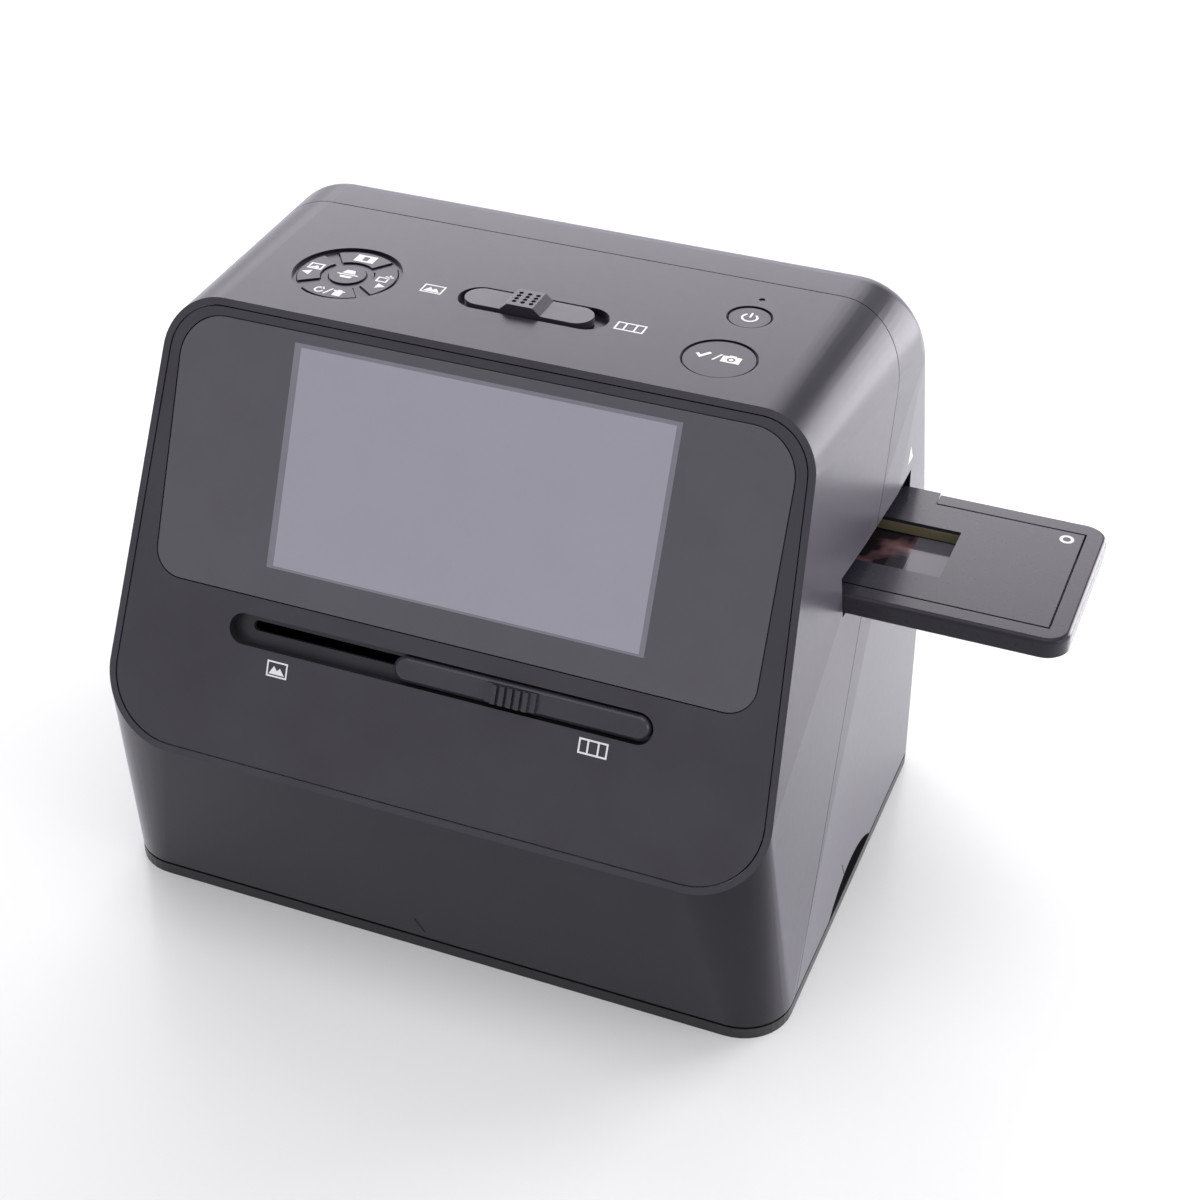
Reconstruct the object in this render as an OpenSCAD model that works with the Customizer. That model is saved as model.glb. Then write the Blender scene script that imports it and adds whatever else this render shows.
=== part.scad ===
// Table scanner for prints and film.
// Millimetres, +Z up, +X to the right of the person in front of it, -Y towards that person.
// The origin is on the table, under the middle of the foot ring's front bar.

/* [Body] */
// Width of the foot
base_w = 210; // [204:1:222]
// Depth of the foot from front to back
base_d = 145; // [142:1:156]
// Corner radius of the foot at the front
foot_front_r = 15; // [11:1:20]
// Corner radius of the upright edges at the back
back_r = 9; // [6:1:12]
// Wall of the two shells
wall = 2.6; // [2.2:0.1:3]
// Height of the knee at the bottom of the sloping face
knee_z = 58; // [54:1:62]
// Distance of the knee in front of the foot
knee_out = 9; // [6:1:12]
// Lean of the sloping face from upright, in degrees
lean = 24; // [22:0.5:26]
// Length of the sloping face
face_len = 131; // [128:1:138]
// Width of the face at the knee
face_w_low = 202.5; // [198:0.5:208]
// Width of the face at its top
face_w_top = 187; // [184:0.5:194]
// Corner radius of the face at the knee
face_r_low = 22; // [16:1:26]
// Corner radius of the face at its top
face_r_top = 17; // [14:1:22]
// Bulge of the back beyond the foot
back_bulge = 2.8; // [1.5:0.1:5]
// Height of the fullest part of the back
bulge_z = 69; // [60:1:76]
// Bulge of the back's shoulder beyond the foot
shoulder_bulge = 0.2; // [0:0.1:2]
// Height of the back's shoulder
shoulder_z = 95; // [90:1:110]
// Width over the rear top edges
rear_w = 202; // [197:0.5:208]
// Width of the rounding along the rear top edges
rear_r = 22; // [17:0.5:25]
// Depth of the rounding along the rear top edges
rear_depth = 15.5; // [13:0.5:18]
// Height of the rounding along the rear top edges
rear_drop = 24; // [19:0.5:26]
// Distance of the rear top edge in front of the foot's back
rear_in = 7.8; // [5:0.2:10]
// Lean of the seam between the shells, in degrees
seam_lean = 28; // [26.5:0.5:29]
// Distance of the seam behind the front edge of the top
seam_back = 66; // [62:1:72]
// Gap along the seam
seam_gap = 0.3; // [0.2:0.1:0.5]

/* [Foot] */
// Height of the foot ring
ring_h = 3.6; // [3:0.1:5]
// Width of the foot ring's bars
rim_w = 10; // [8:0.5:12]
// Shadow gap between the foot ring and the shells
foot_gap = 0.8; // [0.5:0.1:1.2]
// Thickness of the bottom plate
plate_t = 3; // [2.5:0.1:4]
// Width of the print window in the bottom plate
print_w = 152; // [146:1:156]
// Depth of the print window in the bottom plate
print_d = 100; // [94:1:101]
// Thickness of the print window's pane
pane_t = 1.6; // [1:0.1:2]
// Seat of the pane around the window
pane_seat = 2.5; // [2:0.1:3]
// Length of the finger notch in the right side
notch_len = 43; // [36:1:50]
// Height of the finger notch above the table
notch_top = 11.6; // [10.5:0.1:13]
// Depth of the finger pocket behind the notch
pocket_d = 8; // [6:0.5:8]

/* [Front panel] */
// Width of the shell's rim around the panel
panel_rim = 2; // [1.5:0.1:3]
// Gap around the panel
panel_gap = 0.35; // [0.25:0.05:0.4]
// Width of the ledge behind the panel
ledge_w = 3; // [2:0.5:4]
// Thickness of the ledge behind the panel
ledge_t = 2; // [1.5:0.1:3]
// Width of the screen glass
glass_w = 178; // [170:1:180]
// Height of the screen glass
glass_h = 75; // [70:1:76]
// Radius of the screen glass's upper corners
glass_r = 13; // [10:1:18]
// Radius of the screen glass's lower corners
glass_r_low = 8; // [6:1:12]
// Thickness of the screen glass
glass_t = 1.2; // [0.8:0.1:1.6]
// Distance of the glass's upper edge below the top of the face
glass_top = 5; // [4.5:0.5:7]
// Width of the display's viewing window
view_w = 112; // [106:1:114]
// Height of the display's viewing window
view_h = 63; // [58:1:64]
// Sideways place of the display
view_u = 1.5; // [-4:0.5:4]
// Margin of the display module around the window
view_rim = 2.5; // [2:0.1:3]
// Thickness of the display module
display_t = 3.2; // [2.4:0.1:4]

/* [Front slider] */
// Length of the slider's recess
recess_len = 127; // [120:1:134]
// Height of the slider's recess
recess_h = 9; // [8:0.5:11]
// Depth of the slider's recess
recess_d = 4; // [3.4:0.1:5]
// Distance of the slider's middle below the glass
slider_drop = 10; // [9:0.5:11]
// Travel of the slider
slider_travel = 50; // [44:1:54]
// Gap around the slider
slider_gap = 0.9; // [0.7:0.1:1]
// Length of the slider's ribbed grip
grip_len = 14.5; // [13:0.5:20]
// Height of the grip above the slider
grip_h = 2.5; // [2:0.1:3.5]
// Length of the stem behind the slider
stem_len = 12; // [9:0.5:14]
// Height of the stem behind the slider
stem_h = 2.2; // [1.8:0.1:3]

/* [Top controls] */
// Travel of the push buttons
button_travel = 0.8; // [0.5:0.1:1]
// Gap around the pad's buttons
button_gap = 0.4; // [0.3:0.05:0.5]
// Gap around the capture and power buttons
cap_gap = 0.7; // [0.4:0.05:0.8]
// Sideways place of the five-button pad
pad_x = -53.3; // [-58:0.1:-48]
// Distance of the pad behind the front edge of the top
pad_back = 26.4; // [24:0.1:30]
// Radius of the pad's dish
pad_r = 15.6; // [14.8:0.1:17]
// Depth of the pad's dish
dish_d = 1; // [0.7:0.1:1.2]
// Outer radius of the direction buttons
nav_r = 14; // [13.5:0.1:14.4]
// Radius of the middle button
nav_mid_r = 5.2; // [4.6:0.1:5.6]
// Sideways place of the capture and power buttons
keys_x = 59; // [54:0.5:64]
// Distance of the capture button behind the front edge of the top
capture_back = 19.8; // [18:0.1:24]
// Radius of the capture button
capture_r = 9.7; // [8:0.1:11]
// Distance of the power button behind the front edge of the top
power_back = 44.8; // [41:0.1:47]
// Radius of the power button
power_r = 5.7; // [5:0.1:7]
// Distance of the power lamp behind the front edge of the top
lamp_back = 55.5; // [54:0.1:56]
// Radius of the power lamp's light pipe
lamp_r = 0.8; // [0.6:0.1:1.2]
// Sideways place of the mode switch's recess
switch_x = 2.9; // [-1:0.1:6]
// Distance of the mode switch behind the front edge of the top
switch_back = 27; // [25:0.1:28]
// Length of the mode switch's recess
switch_len = 44; // [40:1:50]
// Width of the mode switch's recess
switch_w = 12.8; // [12:0.1:13.5]
// Depth of the mode switch's recess
switch_d = 2.2; // [1.8:0.1:2.6]
// Travel of the mode switch
switch_travel = 4; // [3:0.1:5]
// Gap at the ends of the mode switch's plate
switch_end = 1.2; // [1.1:0.1:1.6]
// Height of the mode switch's plate above the top
switch_rise = 0.5; // [0.2:0.1:0.8]
// Height of the mode switch's knob above its plate
knob_h = 2; // [1.5:0.1:3]

/* [Film path] */
// Distance of the film's middle behind the foot's front
film_back = 84.5; // [83:0.5:86]
// Height of the film slot's lower edge
slot_z = 112; // [110:0.5:114]
// Height of the film slot
slot_h = 12.5; // [11:0.5:14]
// Width of the film holder
holder_w = 60; // [56:0.5:62]
// Thickness of the film holder
holder_t = 6; // [5.4:0.1:6.4]
// Length of the film holder
holder_len = 184; // [178:1:190]
// Place of the film holder's right end
holder_end = 160.5; // [154:0.5:168]
// Corner radius of the film holder
holder_r = 7; // [4:0.5:9]
// Height of the film holder above the slot's lower edge
holder_rise = 1; // [0.8:0.1:1.5]
// Running gap around the film holder and the slides
run_gap = 0.3; // [0.3:0.05:0.5]
// Margin of the holder around its lid
lid_margin = 6; // [5:0.5:8]
// Thickness of the holder's lid
lid_t = 4.4; // [4:0.1:4.6]
// Gap around the holder's lid
lid_gap = 0.35; // [0.25:0.05:0.5]
// Distance of the lid's hinge tabs from the holder's ends
tab_end = 49.2; // [44:0.2:54]
// Length of the lid's hinge tabs
tab_len = 20; // [14:1:24]
// Length of a film frame
frame_l = 36; // [34:0.5:36]
// Height of a film frame
frame_h = 24; // [23:0.5:25]
// Spacing of the film frames
frame_pitch = 38; // [37.5:0.1:39]
// Distance of the last frame's middle from the holder's right end
frame_end = 56.7; // [54:0.1:60]
// Thickness of the film
film_t = 0.2; // [0.15:0.01:0.3]
// Width of the film
film_w = 35; // [34.5:0.1:35]
// Thickness of the film tray's floor
tray_t = 4; // [3:0.5:5]
// Thickness of the film cover plate
cover_t = 2.5; // [2:0.1:3]

/* [Backlight] */
// Width of the backlight carriage
carriage_w = 46; // [44:1:48]
// Depth of the backlight carriage
carriage_d = 54; // [54:1:56]
// Height of the backlight carriage
carriage_h = 15; // [14:0.5:17]
// Radius of the guide rods
rod_r = 2; // [1.5:0.1:2.2]
// Spacing of the guide rods
rod_gap = 44; // [44:0.5:46]
// Running clearance of the bores on rods and pins
bore_gap = 0.05; // [0.03:0.01:0.08]
// Width of the arm behind the slider
arm_w = 10; // [8:0.5:14]

/* [Camera] */
// Radius of the lens barrel
lens_r = 8; // [7:0.1:9]
// Length of the lens barrel
lens_len = 14; // [11:0.5:16]
// Place of the lens carriage between the film cover (0) and the camera bracket (1)
lens_place = 0.52; // [0.48:0.01:0.55]
// Lowering of the lens over the mode switch's travel
focus_drop = 1.2; // [0.8:0.1:1.5]
// Radius of the lens carriage's guide pins
pin_r = 1.5; // [1.2:0.1:2]
// Spacing of the lens carriage's guide pins
pin_gap = 30; // [28:0.5:31]
// Thickness of the camera bracket
bracket_t = 4; // [3:0.5:5]

/* [Boards and screws] */
// Thickness of the circuit boards
board_t = 1.6; // [1.2:0.1:2]
// Thickness of the flat cables
ribbon_t = 0.3; // [0.2:0.05:0.5]
// Radius of the screws
screw_r = 1.45; // [1.2:0.05:1.6]
// Radius of the screw heads
head_r = 2.8; // [2.4:0.1:3]
// Height of the screw heads
head_h = 1.6; // [1.2:0.1:1.8]
// Sideways place of the sockets on the back
usb_x = -30; // [-40:1:-24]
// Sideways place of the card socket on the back
card_x = 10; // [4:1:30]
// Height of the sockets on the back
port_z = 26; // [22:1:34]

/* [Hidden] */
$fn = 64;
hull_fn = 24;
arc_n = 10;
eps = 0.01;

shell_colour = "#47464b";
panel_colour = "#3b3a3f";
trim_colour = "#2b2a2d";
board_colour = "#2f5d3a";
steel_colour = "#b9bcc0";

// Foot and body
front_y = -rim_w / 2;
back_y = front_y + base_d;
knee_y = front_y - knee_out;
body_h = knee_z + face_len * cos(lean);
top_front_y = knee_y + face_len * sin(lean);
shell_z = ring_h + foot_gap;
plate_top = ring_h + plate_t;
plate_fit = 0.6;
seam_y = top_front_y + seam_back - body_h * tan(seam_lean);
far = 2 * (base_w + base_d);

// Sloping face: half width at a height v, and the centres of its round corners
face_taper = (face_w_low - face_w_top) / 2 / face_len;
face_tilt = atan(face_taper);
function face_half(v) = face_w_low / 2 - face_taper * v;
function face_corner(v, r) = [face_half(v) - r / cos(face_tilt), v];
face_low_c = face_corner(face_r_low, face_r_low);
face_top_c = face_corner(face_len - face_r_top, face_r_top);

// Width over the sides at the back, between the foot and the rear top edge
function side_half(z) = base_w / 2 + (rear_w - base_w) / 2 * z / (body_h - rear_drop);

function arc(c, r, a0, a1) =
    [for (i = [0:arc_n]) let (a = a0 + (a1 - a0) * i / arc_n) c + r * [cos(a), sin(a)]];
function mirrored(pts) = [for (i = [len(pts) - 1:-1:0]) [-pts[i][0], pts[i][1]]];
function closed(right) = concat(right, mirrored(right));
function face_outline(inset) = closed(concat(
    arc(face_low_c, face_r_low - inset, -90, face_tilt),
    arc(face_top_c, face_r_top - inset, face_tilt, 90)));
function foot_outline(inset) = let (r = max(back_r - inset, 2)) closed(concat(
    arc([base_w / 2 - foot_front_r, front_y + foot_front_r], foot_front_r - inset, -90, 0),
    arc([base_w / 2 - inset - r, back_y - inset - r], r, 0, 90)));

// Case screws: bosses in the shells, and posts under the film tray
boss_r = 4.2;
boss_h = 12;
boss_in = 8.5;
boss_gap = 3.3;
boss_x = print_w / 2 + pane_seat + boss_gap + boss_r;
boss_places = [for (s = [-1, 1]) for (y = [front_y + boss_in, back_y - boss_in]) [s * boss_x, y]];
screw_bore_r = screw_r + 0.15;
screw_reach = 8;
bore_depth = 10;

// Film path
film_y = front_y + film_back;
slot_w = holder_w + 1;
holder_z = slot_z + holder_rise;
tray_top = holder_z - run_gap;
tray_z = tray_top - tray_t;
rail_t = 4;
tray_w = holder_w + 2 * run_gap + 2 * rail_t;
cover_z = holder_z + holder_t + run_gap;
cover_top = cover_z + cover_t;
tray_half = face_half((slot_z + slot_h - knee_z) / cos(lean)) - wall - 1;
post_w = 8;
post_gap = 0.5;
post_x = max(tray_half - 6, print_w / 2 + pane_seat + post_gap + post_w / 2);
post_dy = tray_w / 2 - post_w / 4;
post_places = [for (s = [-1, 1]) for (t = [-1, 1]) [s * post_x, film_y + t * post_dy]];
screw_places = concat(boss_places, post_places);

// Film holder
holder_start = holder_end - holder_len;
lid_len = holder_len - 2 * lid_margin;
lid_w = holder_w - 2 * lid_margin;
lid_x = holder_start + holder_len / 2;
lid_z = holder_z + holder_t - lid_t;
film_z = lid_z - film_t - 0.1;
film_end = 6;
frame_places = [for (i = [0:2]) holder_end - frame_end - i * frame_pitch];
hinge_r = 0.6;
hinge_len = 4;
hinge_y = film_y + (holder_w - lid_margin) / 2;
hinge_z = lid_z + lid_t / 2;
tab_x = holder_len / 2 - tab_end - tab_len / 2;
tab_places = [for (t = [-1, 1]) lid_x + t * tab_x];

// Print window
print_y = film_y;
notch_y = front_y + base_d / 2;
notch_r = (pow(notch_len / 2, 2) + pow(notch_top - shell_z, 2)) / 2 / (notch_top - shell_z);
hood_t = 1.2;
pocket_right = base_w / 2 - wall - 1.2;
pocket_x = max(pocket_right - pocket_d, post_x + post_w / 2 + hood_t + post_gap);

// Front panel and slider, measured along the face's outward direction
panel_sink = 0.2;
glass_v = face_len - glass_top - glass_h;
slider_v = glass_v - slider_drop;
tub_wall = 2;
tub_floor = 1.6;
tub_back = recess_d + tub_floor;
slider_len = recess_len - slider_travel - 2 * slider_gap;
slider_x = recess_len / 2 - slider_gap - slider_len / 2;
slider_sink = 0.2;
slider_edge = 0.9;
grip_shift = -2;
slot_gap = 0.4;
stem_up = 0.9;
stem_slot_h = stem_h + 2 * slot_gap;
view_v = glass_v + glass_h - view_h / 2 - 3;
display_w = view_w + 2 * view_rim;
display_h = view_h + 2 * view_rim;
display_back = wall + display_t;
standoff_r = 2.5;
standoff_u = display_w / 2 + 3.5;
standoff_v = display_h / 2 - 8;
display_bracket_t = 1.5;
display_band = 15;

// Backlight carriage and slider arm
carriage_top = tray_z - 1;
carriage_z = carriage_top - carriage_h;
rod_z = carriage_z + carriage_h / 2;
bracket_clear = 6;
rod_bracket_t = 4;
rod_right = carriage_w / 2 + bracket_clear;
rod_left = -(slider_travel + carriage_w / 2 + bracket_clear);
lamp_w = carriage_w - 4;
lamp_d = carriage_d - 24;
lamp_edge = 2;
diffuser_t = 2;
floor_t = 3;
arm_n = tub_back + run_gap;
arm_t = 3;
arm_h = 5;
arm_z = knee_z + slider_v * cos(lean) - (arm_n + arm_t / 2) * sin(lean) - 1;

// Top controls
pad_y = top_front_y + pad_back;
capture_y = top_front_y + capture_back;
power_y = top_front_y + power_back;
lamp_y = top_front_y + lamp_back;
switch_y = top_front_y + switch_back;
nav_in_r = nav_mid_r + 2.6;
nav_half = 36;
nav_flange = 0.8;
nav_stem_y = (nav_in_r + nav_r) / 2;
nav_top = body_h - dish_d + 0.45;
cap_top = body_h - 0.3;
lamp_top = body_h - 0.4;
roof_low = knee_z + (face_len - wall) * cos(lean) - wall * sin(lean);
flange_top = roof_low - 0.3;
flange_t = 1.2;
flange_w = 1.2;
stem_r = 1.6;
stem_end = flange_top - flange_t - 1.4;
tact_w = 4.5;
tact_h = 1.3;
tact_top = stem_end - button_travel - 0.3;
keypad_top = tact_top - tact_h;
keypad_z = keypad_top - board_t;
keypad_w = 144;
keypad_y = top_front_y + 8;
keypad_d = 52;
pillar_r = 3;
pillar_front = [keypad_w / 4 - 3, keypad_y + 4];
pillar_rear = [keypad_w / 2 - 4, keypad_y + keypad_d - 4];
pillar_places = [for (s = [-1, 1]) for (p = [pillar_front, pillar_rear]) [s * p[0], p[1]]];
nav_places = [for (a = [0:90:270]) [pad_x - nav_stem_y * sin(a), pad_y + nav_stem_y * cos(a)]];
tact_places = concat([[keys_x, capture_y], [keys_x, power_y], [pad_x, pad_y]], nav_places);

// Mode switch and focus slide
switch_gap = 1.6;
plate_shift = 0.8;
switch_floor = 1.6;
switch_plate_len = switch_len - switch_travel - 2 * switch_end;
switch_plate_x = switch_x - switch_len / 2 + switch_end + switch_plate_len / 2;
switch_plate_z = body_h - switch_d + run_gap;
switch_top = body_h + switch_rise;
knob_len = 12;
knob_top = 7.6;
dimple_r = 0.7;
dimple_dx = 2.5;
dimple_dy = 1.7;
switch_stem_w = 6;
switch_stem_d = 4;
focus_z = body_h - switch_d - switch_floor - run_gap;
focus_plate_w = 24;
focus_plate_t = 1.6;
focus_y = film_y - 21;
web_t = 2.4;
keypad_hole = [focus_plate_w + switch_travel + 4, 22];
keypad_hole_x = switch_plate_x + switch_travel / 2;
keypad_hole_y = (focus_y + switch_y) / 2;

// Camera
bracket_z = keypad_z - 7;
bracket_w = 52;
bracket_d = 30;
sensor_hole_r = 9;
sensor_w = 10;
sensor_d = 8;
sensor_h = 2;
sensor_side = 4;
lens_plate_w = 40;
lens_plate_d = 24;
lens_plate_t = 4;
lens_z = cover_top + lens_place * (bracket_z - cover_top);
peg_r = 1.5;
peg_gap = 0.35;
peg_x = switch_plate_x;
peg_z = lens_z + lens_plate_t / 2;
web_low = peg_z - focus_drop - peg_r - 3;

// Boards at the back
main_in = 14;
port_in = 1;
main_y = back_y - main_in;
main_w = 120;
main_z = 14;
main_h = 60;
main_top = main_z + main_h;
port_end = back_y - port_in;
usb_w = 9;
usb_h = 3.4;
card_w = 27;
card_h = 4;
port_gap = 0.4;
ribbon_w = 16;
ribbon_tail = 8;
ribbon_lead = 4;
ribbon_bow = 20;
ribbon_drop = 10;
ribbon_off = 5;
display_ribbon_x = -30;
keypad_ribbon_x = -40;
led_w = 3;
led_h = 1;
lamp_bar_t = 3;
lamp_bar_z = 60;
lamp_bar_h = 6;

module on_face() {
    translate([0, knee_y, knee_z]) rotate([90 - lean, 0, 0]) children();
}

module rounded_rect(w, h, r) {
    square([w - 2 * r, h], center = true);
    square([w, h - 2 * r], center = true);
    for (x = [-1, 1]) for (y = [-1, 1]) translate([x * (w / 2 - r), y * (h / 2 - r)]) circle(r);
}

module stadium(length, h) {
    square([length - h, h], center = true);
    for (s = [-1, 1]) translate([s * (length - h) / 2, 0]) circle(h / 2);
}

module box_at(centre, size) {
    translate(centre) cube(size, center = true);
}

// Ring sector that points along +Y
module sector(r_in, r_out, half, margin) {
    difference() {
        circle(r_out + margin);
        circle(r_in - margin);
        for (s = [-1, 1]) rotate(-s * half) translate([s * (far / 2 + margin), 0]) square(far, center = true);
        translate([0, -far / 2]) square(far, center = true);
    }
}

// Outer form of the body, pulled in by inset, with its foot at a given height
module envelope(inset, foot) {
    edge = 1;
    hull() for (s = [-1, 1]) {
        translate([s * (base_w / 2 - foot_front_r), front_y + foot_front_r, foot])
            cylinder(r = foot_front_r - inset, h = edge, $fn = hull_fn);
        translate([s * (base_w / 2 - back_r), back_y - back_r, foot])
            cylinder(r = back_r - inset, h = edge, $fn = hull_fn);
        for (b = [[back_bulge, bulge_z], [shoulder_bulge, shoulder_z]])
            translate([s * (side_half(b[1]) - back_r), back_y + b[0] - back_r, b[1]])
                cylinder(r = back_r - inset, h = edge, $fn = hull_fn);
        translate([s * (rear_w / 2 - rear_r), back_y - rear_in - rear_depth, body_h - rear_drop])
            scale([rear_r - inset, rear_depth - inset, rear_drop - inset]) sphere(r = 1, $fn = hull_fn);
        on_face() {
            translate([s * face_low_c[0], face_low_c[1], -edge - inset])
                cylinder(r = face_r_low - inset, h = edge, $fn = hull_fn);
            translate([s * face_top_c[0], face_top_c[1], -edge - inset])
                cylinder(r = face_r_top - inset, h = edge, $fn = hull_fn);
        }
    }
}

// One half of the hollow body, in front of the seam (side -1) or behind it (side 1), at its full width
module shell_half(side) {
    resize([base_w, 0, 0]) intersection() {
        difference() {
            envelope(0, shell_z);
            envelope(wall, -ring_h);
        }
        seam_half(side);
    }
}

// Half space in front of the seam (side -1) or behind it (side 1)
module seam_half(side) {
    start = side < 0 ? -far - seam_gap / 2 : seam_gap / 2;
    translate([0, seam_y, 0]) rotate([-seam_lean, 0, 0]) translate([-far / 2, start, -far / 2]) cube(far);
}

// Screw boss with a rib that runs into the wall; the wall slopes by rise over its height
module boss(place, wall_y, rise) {
    low = plate_top + 0.5;
    high = plate_top + boss_h - 0.5;
    translate([place[0], place[1], plate_top]) cylinder(r = boss_r, h = boss_h);
    translate([place[0] - 1, 0, 0]) rotate([90, 0, 90]) linear_extrude(2)
        polygon([[place[1], low], [wall_y + rise * low, low], [wall_y + rise * high, high],
            [place[1], high]]);
}

module boss_bores() {
    for (p = boss_places) translate([p[0], p[1], plate_top - eps]) cylinder(r = screw_bore_r, h = bore_depth);
}

module film_slot() {
    translate([-far / 2, film_y - slot_w / 2, slot_z]) cube([far, slot_w, slot_h]);
}

module front_shell() {
    color(shell_colour) difference() {
        union() {
            shell_half(-1);
            on_face() translate([0, 0, -wall - ledge_t]) linear_extrude(ledge_t)
                polygon(face_outline(wall / 2));
            translate([switch_x, switch_y, body_h - switch_d - switch_floor])
                linear_extrude(switch_d + switch_floor - wall / 2) stadium(switch_len + 4, switch_w + 4);
            for (p = pillar_places)
                translate([p[0], p[1], keypad_top])
                    cylinder(r = pillar_r, h = body_h - wall / 2 - keypad_top);
            for (p = boss_places) if (p[1] < film_y) boss(p, front_y + wall / 2, -knee_out / knee_z);
        }
        face_opening();
        top_openings();
        film_slot();
        boss_bores();
    }
}

module face_opening() {
    on_face() {
        translate([0, 0, -wall]) linear_extrude(wall + 1) polygon(face_outline(panel_rim));
        translate([0, 0, -wall - ledge_t - 1]) linear_extrude(ledge_t + 2)
            polygon(face_outline(panel_rim + ledge_w));
    }
}

module top_openings() {
    deep = 2 * wall;
    translate([pad_x, pad_y, body_h]) {
        translate([0, 0, -dish_d]) cylinder(r = pad_r, h = deep);
        translate([0, 0, -deep]) linear_extrude(2 * deep) {
            circle(nav_mid_r + button_gap);
            for (a = [0:90:270]) rotate(a) sector(nav_in_r, nav_r, nav_half, button_gap);
        }
    }
    translate([keys_x, capture_y, body_h - deep]) cylinder(r = capture_r + cap_gap, h = 2 * deep);
    translate([keys_x, power_y, body_h - deep]) cylinder(r = power_r + cap_gap, h = 2 * deep);
    translate([keys_x, lamp_y, body_h - deep]) cylinder(r = lamp_r + 0.1, h = 2 * deep);
    translate([switch_x, switch_y, body_h - switch_d]) linear_extrude(deep) stadium(switch_len, switch_w);
    box_at([switch_plate_x + switch_travel / 2, switch_y, body_h - switch_d],
        [switch_stem_w + switch_travel + 2 * slot_gap, switch_stem_d + 2 * slot_gap, 2 * deep]);
}

module rear_shell() {
    color(shell_colour) difference() {
        union() {
            shell_half(1);
            for (p = boss_places) if (p[1] > film_y) boss(p, back_y - wall / 2, back_bulge / bulge_z);
            for (s = [-1, 1]) for (z = [main_z + 6, main_top - 6]) {
                bulge = z < bulge_z / 2 ? back_bulge * z / bulge_z : back_bulge;
                translate([s * (main_w / 2 - 6), main_y + board_t, z]) rotate([-90, 0, 0])
                    cylinder(r = pillar_r, h = back_y + bulge - wall / 2 - main_y - board_t);
            }
        }
        film_slot();
        boss_bores();
        translate([base_w / 4, notch_y, notch_top - notch_r]) rotate([0, 90, 0])
            cylinder(r = notch_r, h = base_w);
        box_at([usb_x, back_y, port_z], [usb_w + 2 * port_gap, base_d / 4, usb_h + 2 * port_gap]);
        box_at([card_x, back_y, port_z], [card_w + 2 * port_gap, base_d / 4, card_h + 2 * port_gap]);
    }
}

module base_ring() {
    color(trim_colour) linear_extrude(ring_h) difference() {
        polygon(foot_outline(0));
        polygon(foot_outline(rim_w));
    }
}

module bottom_plate() {
    hood_h = notch_top + hood_t - plate_top;
    color(trim_colour) difference() {
        union() {
            translate([0, 0, ring_h]) linear_extrude(plate_t) polygon(foot_outline(wall + plate_fit));
            translate([pocket_x - hood_t, notch_y - notch_len / 2 - hood_t, plate_top - eps])
                cube([pocket_right - pocket_x + hood_t, notch_len + 2 * hood_t, hood_h + eps]);
        }
        box_at([0, print_y, ring_h], [print_w, print_d, 3 * plate_t]);
        translate([pocket_x, notch_y - notch_len / 2, 0]) cube([base_w, notch_len, notch_top]);
        for (p = screw_places) translate([p[0], p[1], 0]) {
            cylinder(r = screw_r + 0.25, h = far);
            cylinder(r = head_r + 0.2, h = ring_h + head_h + 0.3);
        }
    }
}

module photo_glass() {
    color("#9fb4bd", 0.5) translate([0, print_y, plate_top + pane_t / 2])
        cube([print_w + 2 * pane_seat, print_d + 2 * pane_seat, pane_t], center = true);
}

module case_screws() {
    color(steel_colour) for (p = screw_places) translate([p[0], p[1], ring_h + 0.3]) {
        cylinder(r = head_r, h = head_h);
        cylinder(r = screw_r, h = plate_t + screw_reach);
    }
}

module front_panel() {
    color(panel_colour) on_face() difference() {
        union() {
            translate([0, 0, -wall]) linear_extrude(wall - panel_sink)
                polygon(face_outline(panel_rim + panel_gap));
            translate([0, slider_v, -tub_back]) linear_extrude(tub_back - wall / 2)
                stadium(recess_len + 2 * tub_wall, recess_h + 2 * tub_wall);
            for (s = [-1, 1]) for (t = [-1, 1])
                translate([view_u + s * standoff_u, view_v + t * standoff_v, -display_back])
                    cylinder(r = standoff_r, h = display_back - wall / 2);
        }
        translate([0, glass_v + glass_h / 2, -panel_sink - glass_t]) linear_extrude(wall)
            glass_shape(panel_gap);
        box_at([view_u, view_v, -wall], [view_w, view_h, 3 * wall]);
        translate([0, slider_v, -recess_d]) linear_extrude(2 * recess_d) stadium(recess_len, recess_h);
        translate([-slider_travel / 2, slider_v + stem_up, -2 * recess_d]) linear_extrude(2 * recess_d)
            stadium(stem_len + slider_travel + 2 * slot_gap + stem_slot_h, stem_slot_h);
    }
}

// Outline of the screen glass, grown by a margin
module glass_shape(grow) {
    w = glass_w / 2 + grow;
    h = glass_h / 2 + grow;
    for (c = [[glass_r_low + grow, -1], [glass_r + grow, 1]]) {
        translate([c[0] - w, c[1] > 0 ? 0 : -h]) square([2 * (w - c[0]), h]);
        for (s = [-1, 1]) translate([s * (w - c[0]), c[1] * (h - c[0])]) circle(c[0]);
    }
    translate([-w, glass_r_low + grow - h]) square([2 * w, 2 * (h - grow) - glass_r_low - glass_r]);
}

module screen_glass() {
    color("#5d5b62") on_face() translate([0, glass_v + glass_h / 2, -panel_sink - glass_t])
        linear_extrude(glass_t) glass_shape(0);
}

module display_module() {
    color("#9a9aa6") on_face() translate([view_u, view_v, -display_back]) linear_extrude(display_t)
        square([display_w, display_h], center = true);
}

module display_bracket() {
    color(steel_colour) on_face() translate([view_u, view_v, -display_back - display_bracket_t])
        linear_extrude(display_bracket_t) difference() {
            square([2 * standoff_u + 3 * standoff_r, 2 * standoff_v + 3 * standoff_r], center = true);
            square([display_w - 2 * display_band, display_h - 2 * display_band], center = true);
        }
}

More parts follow.
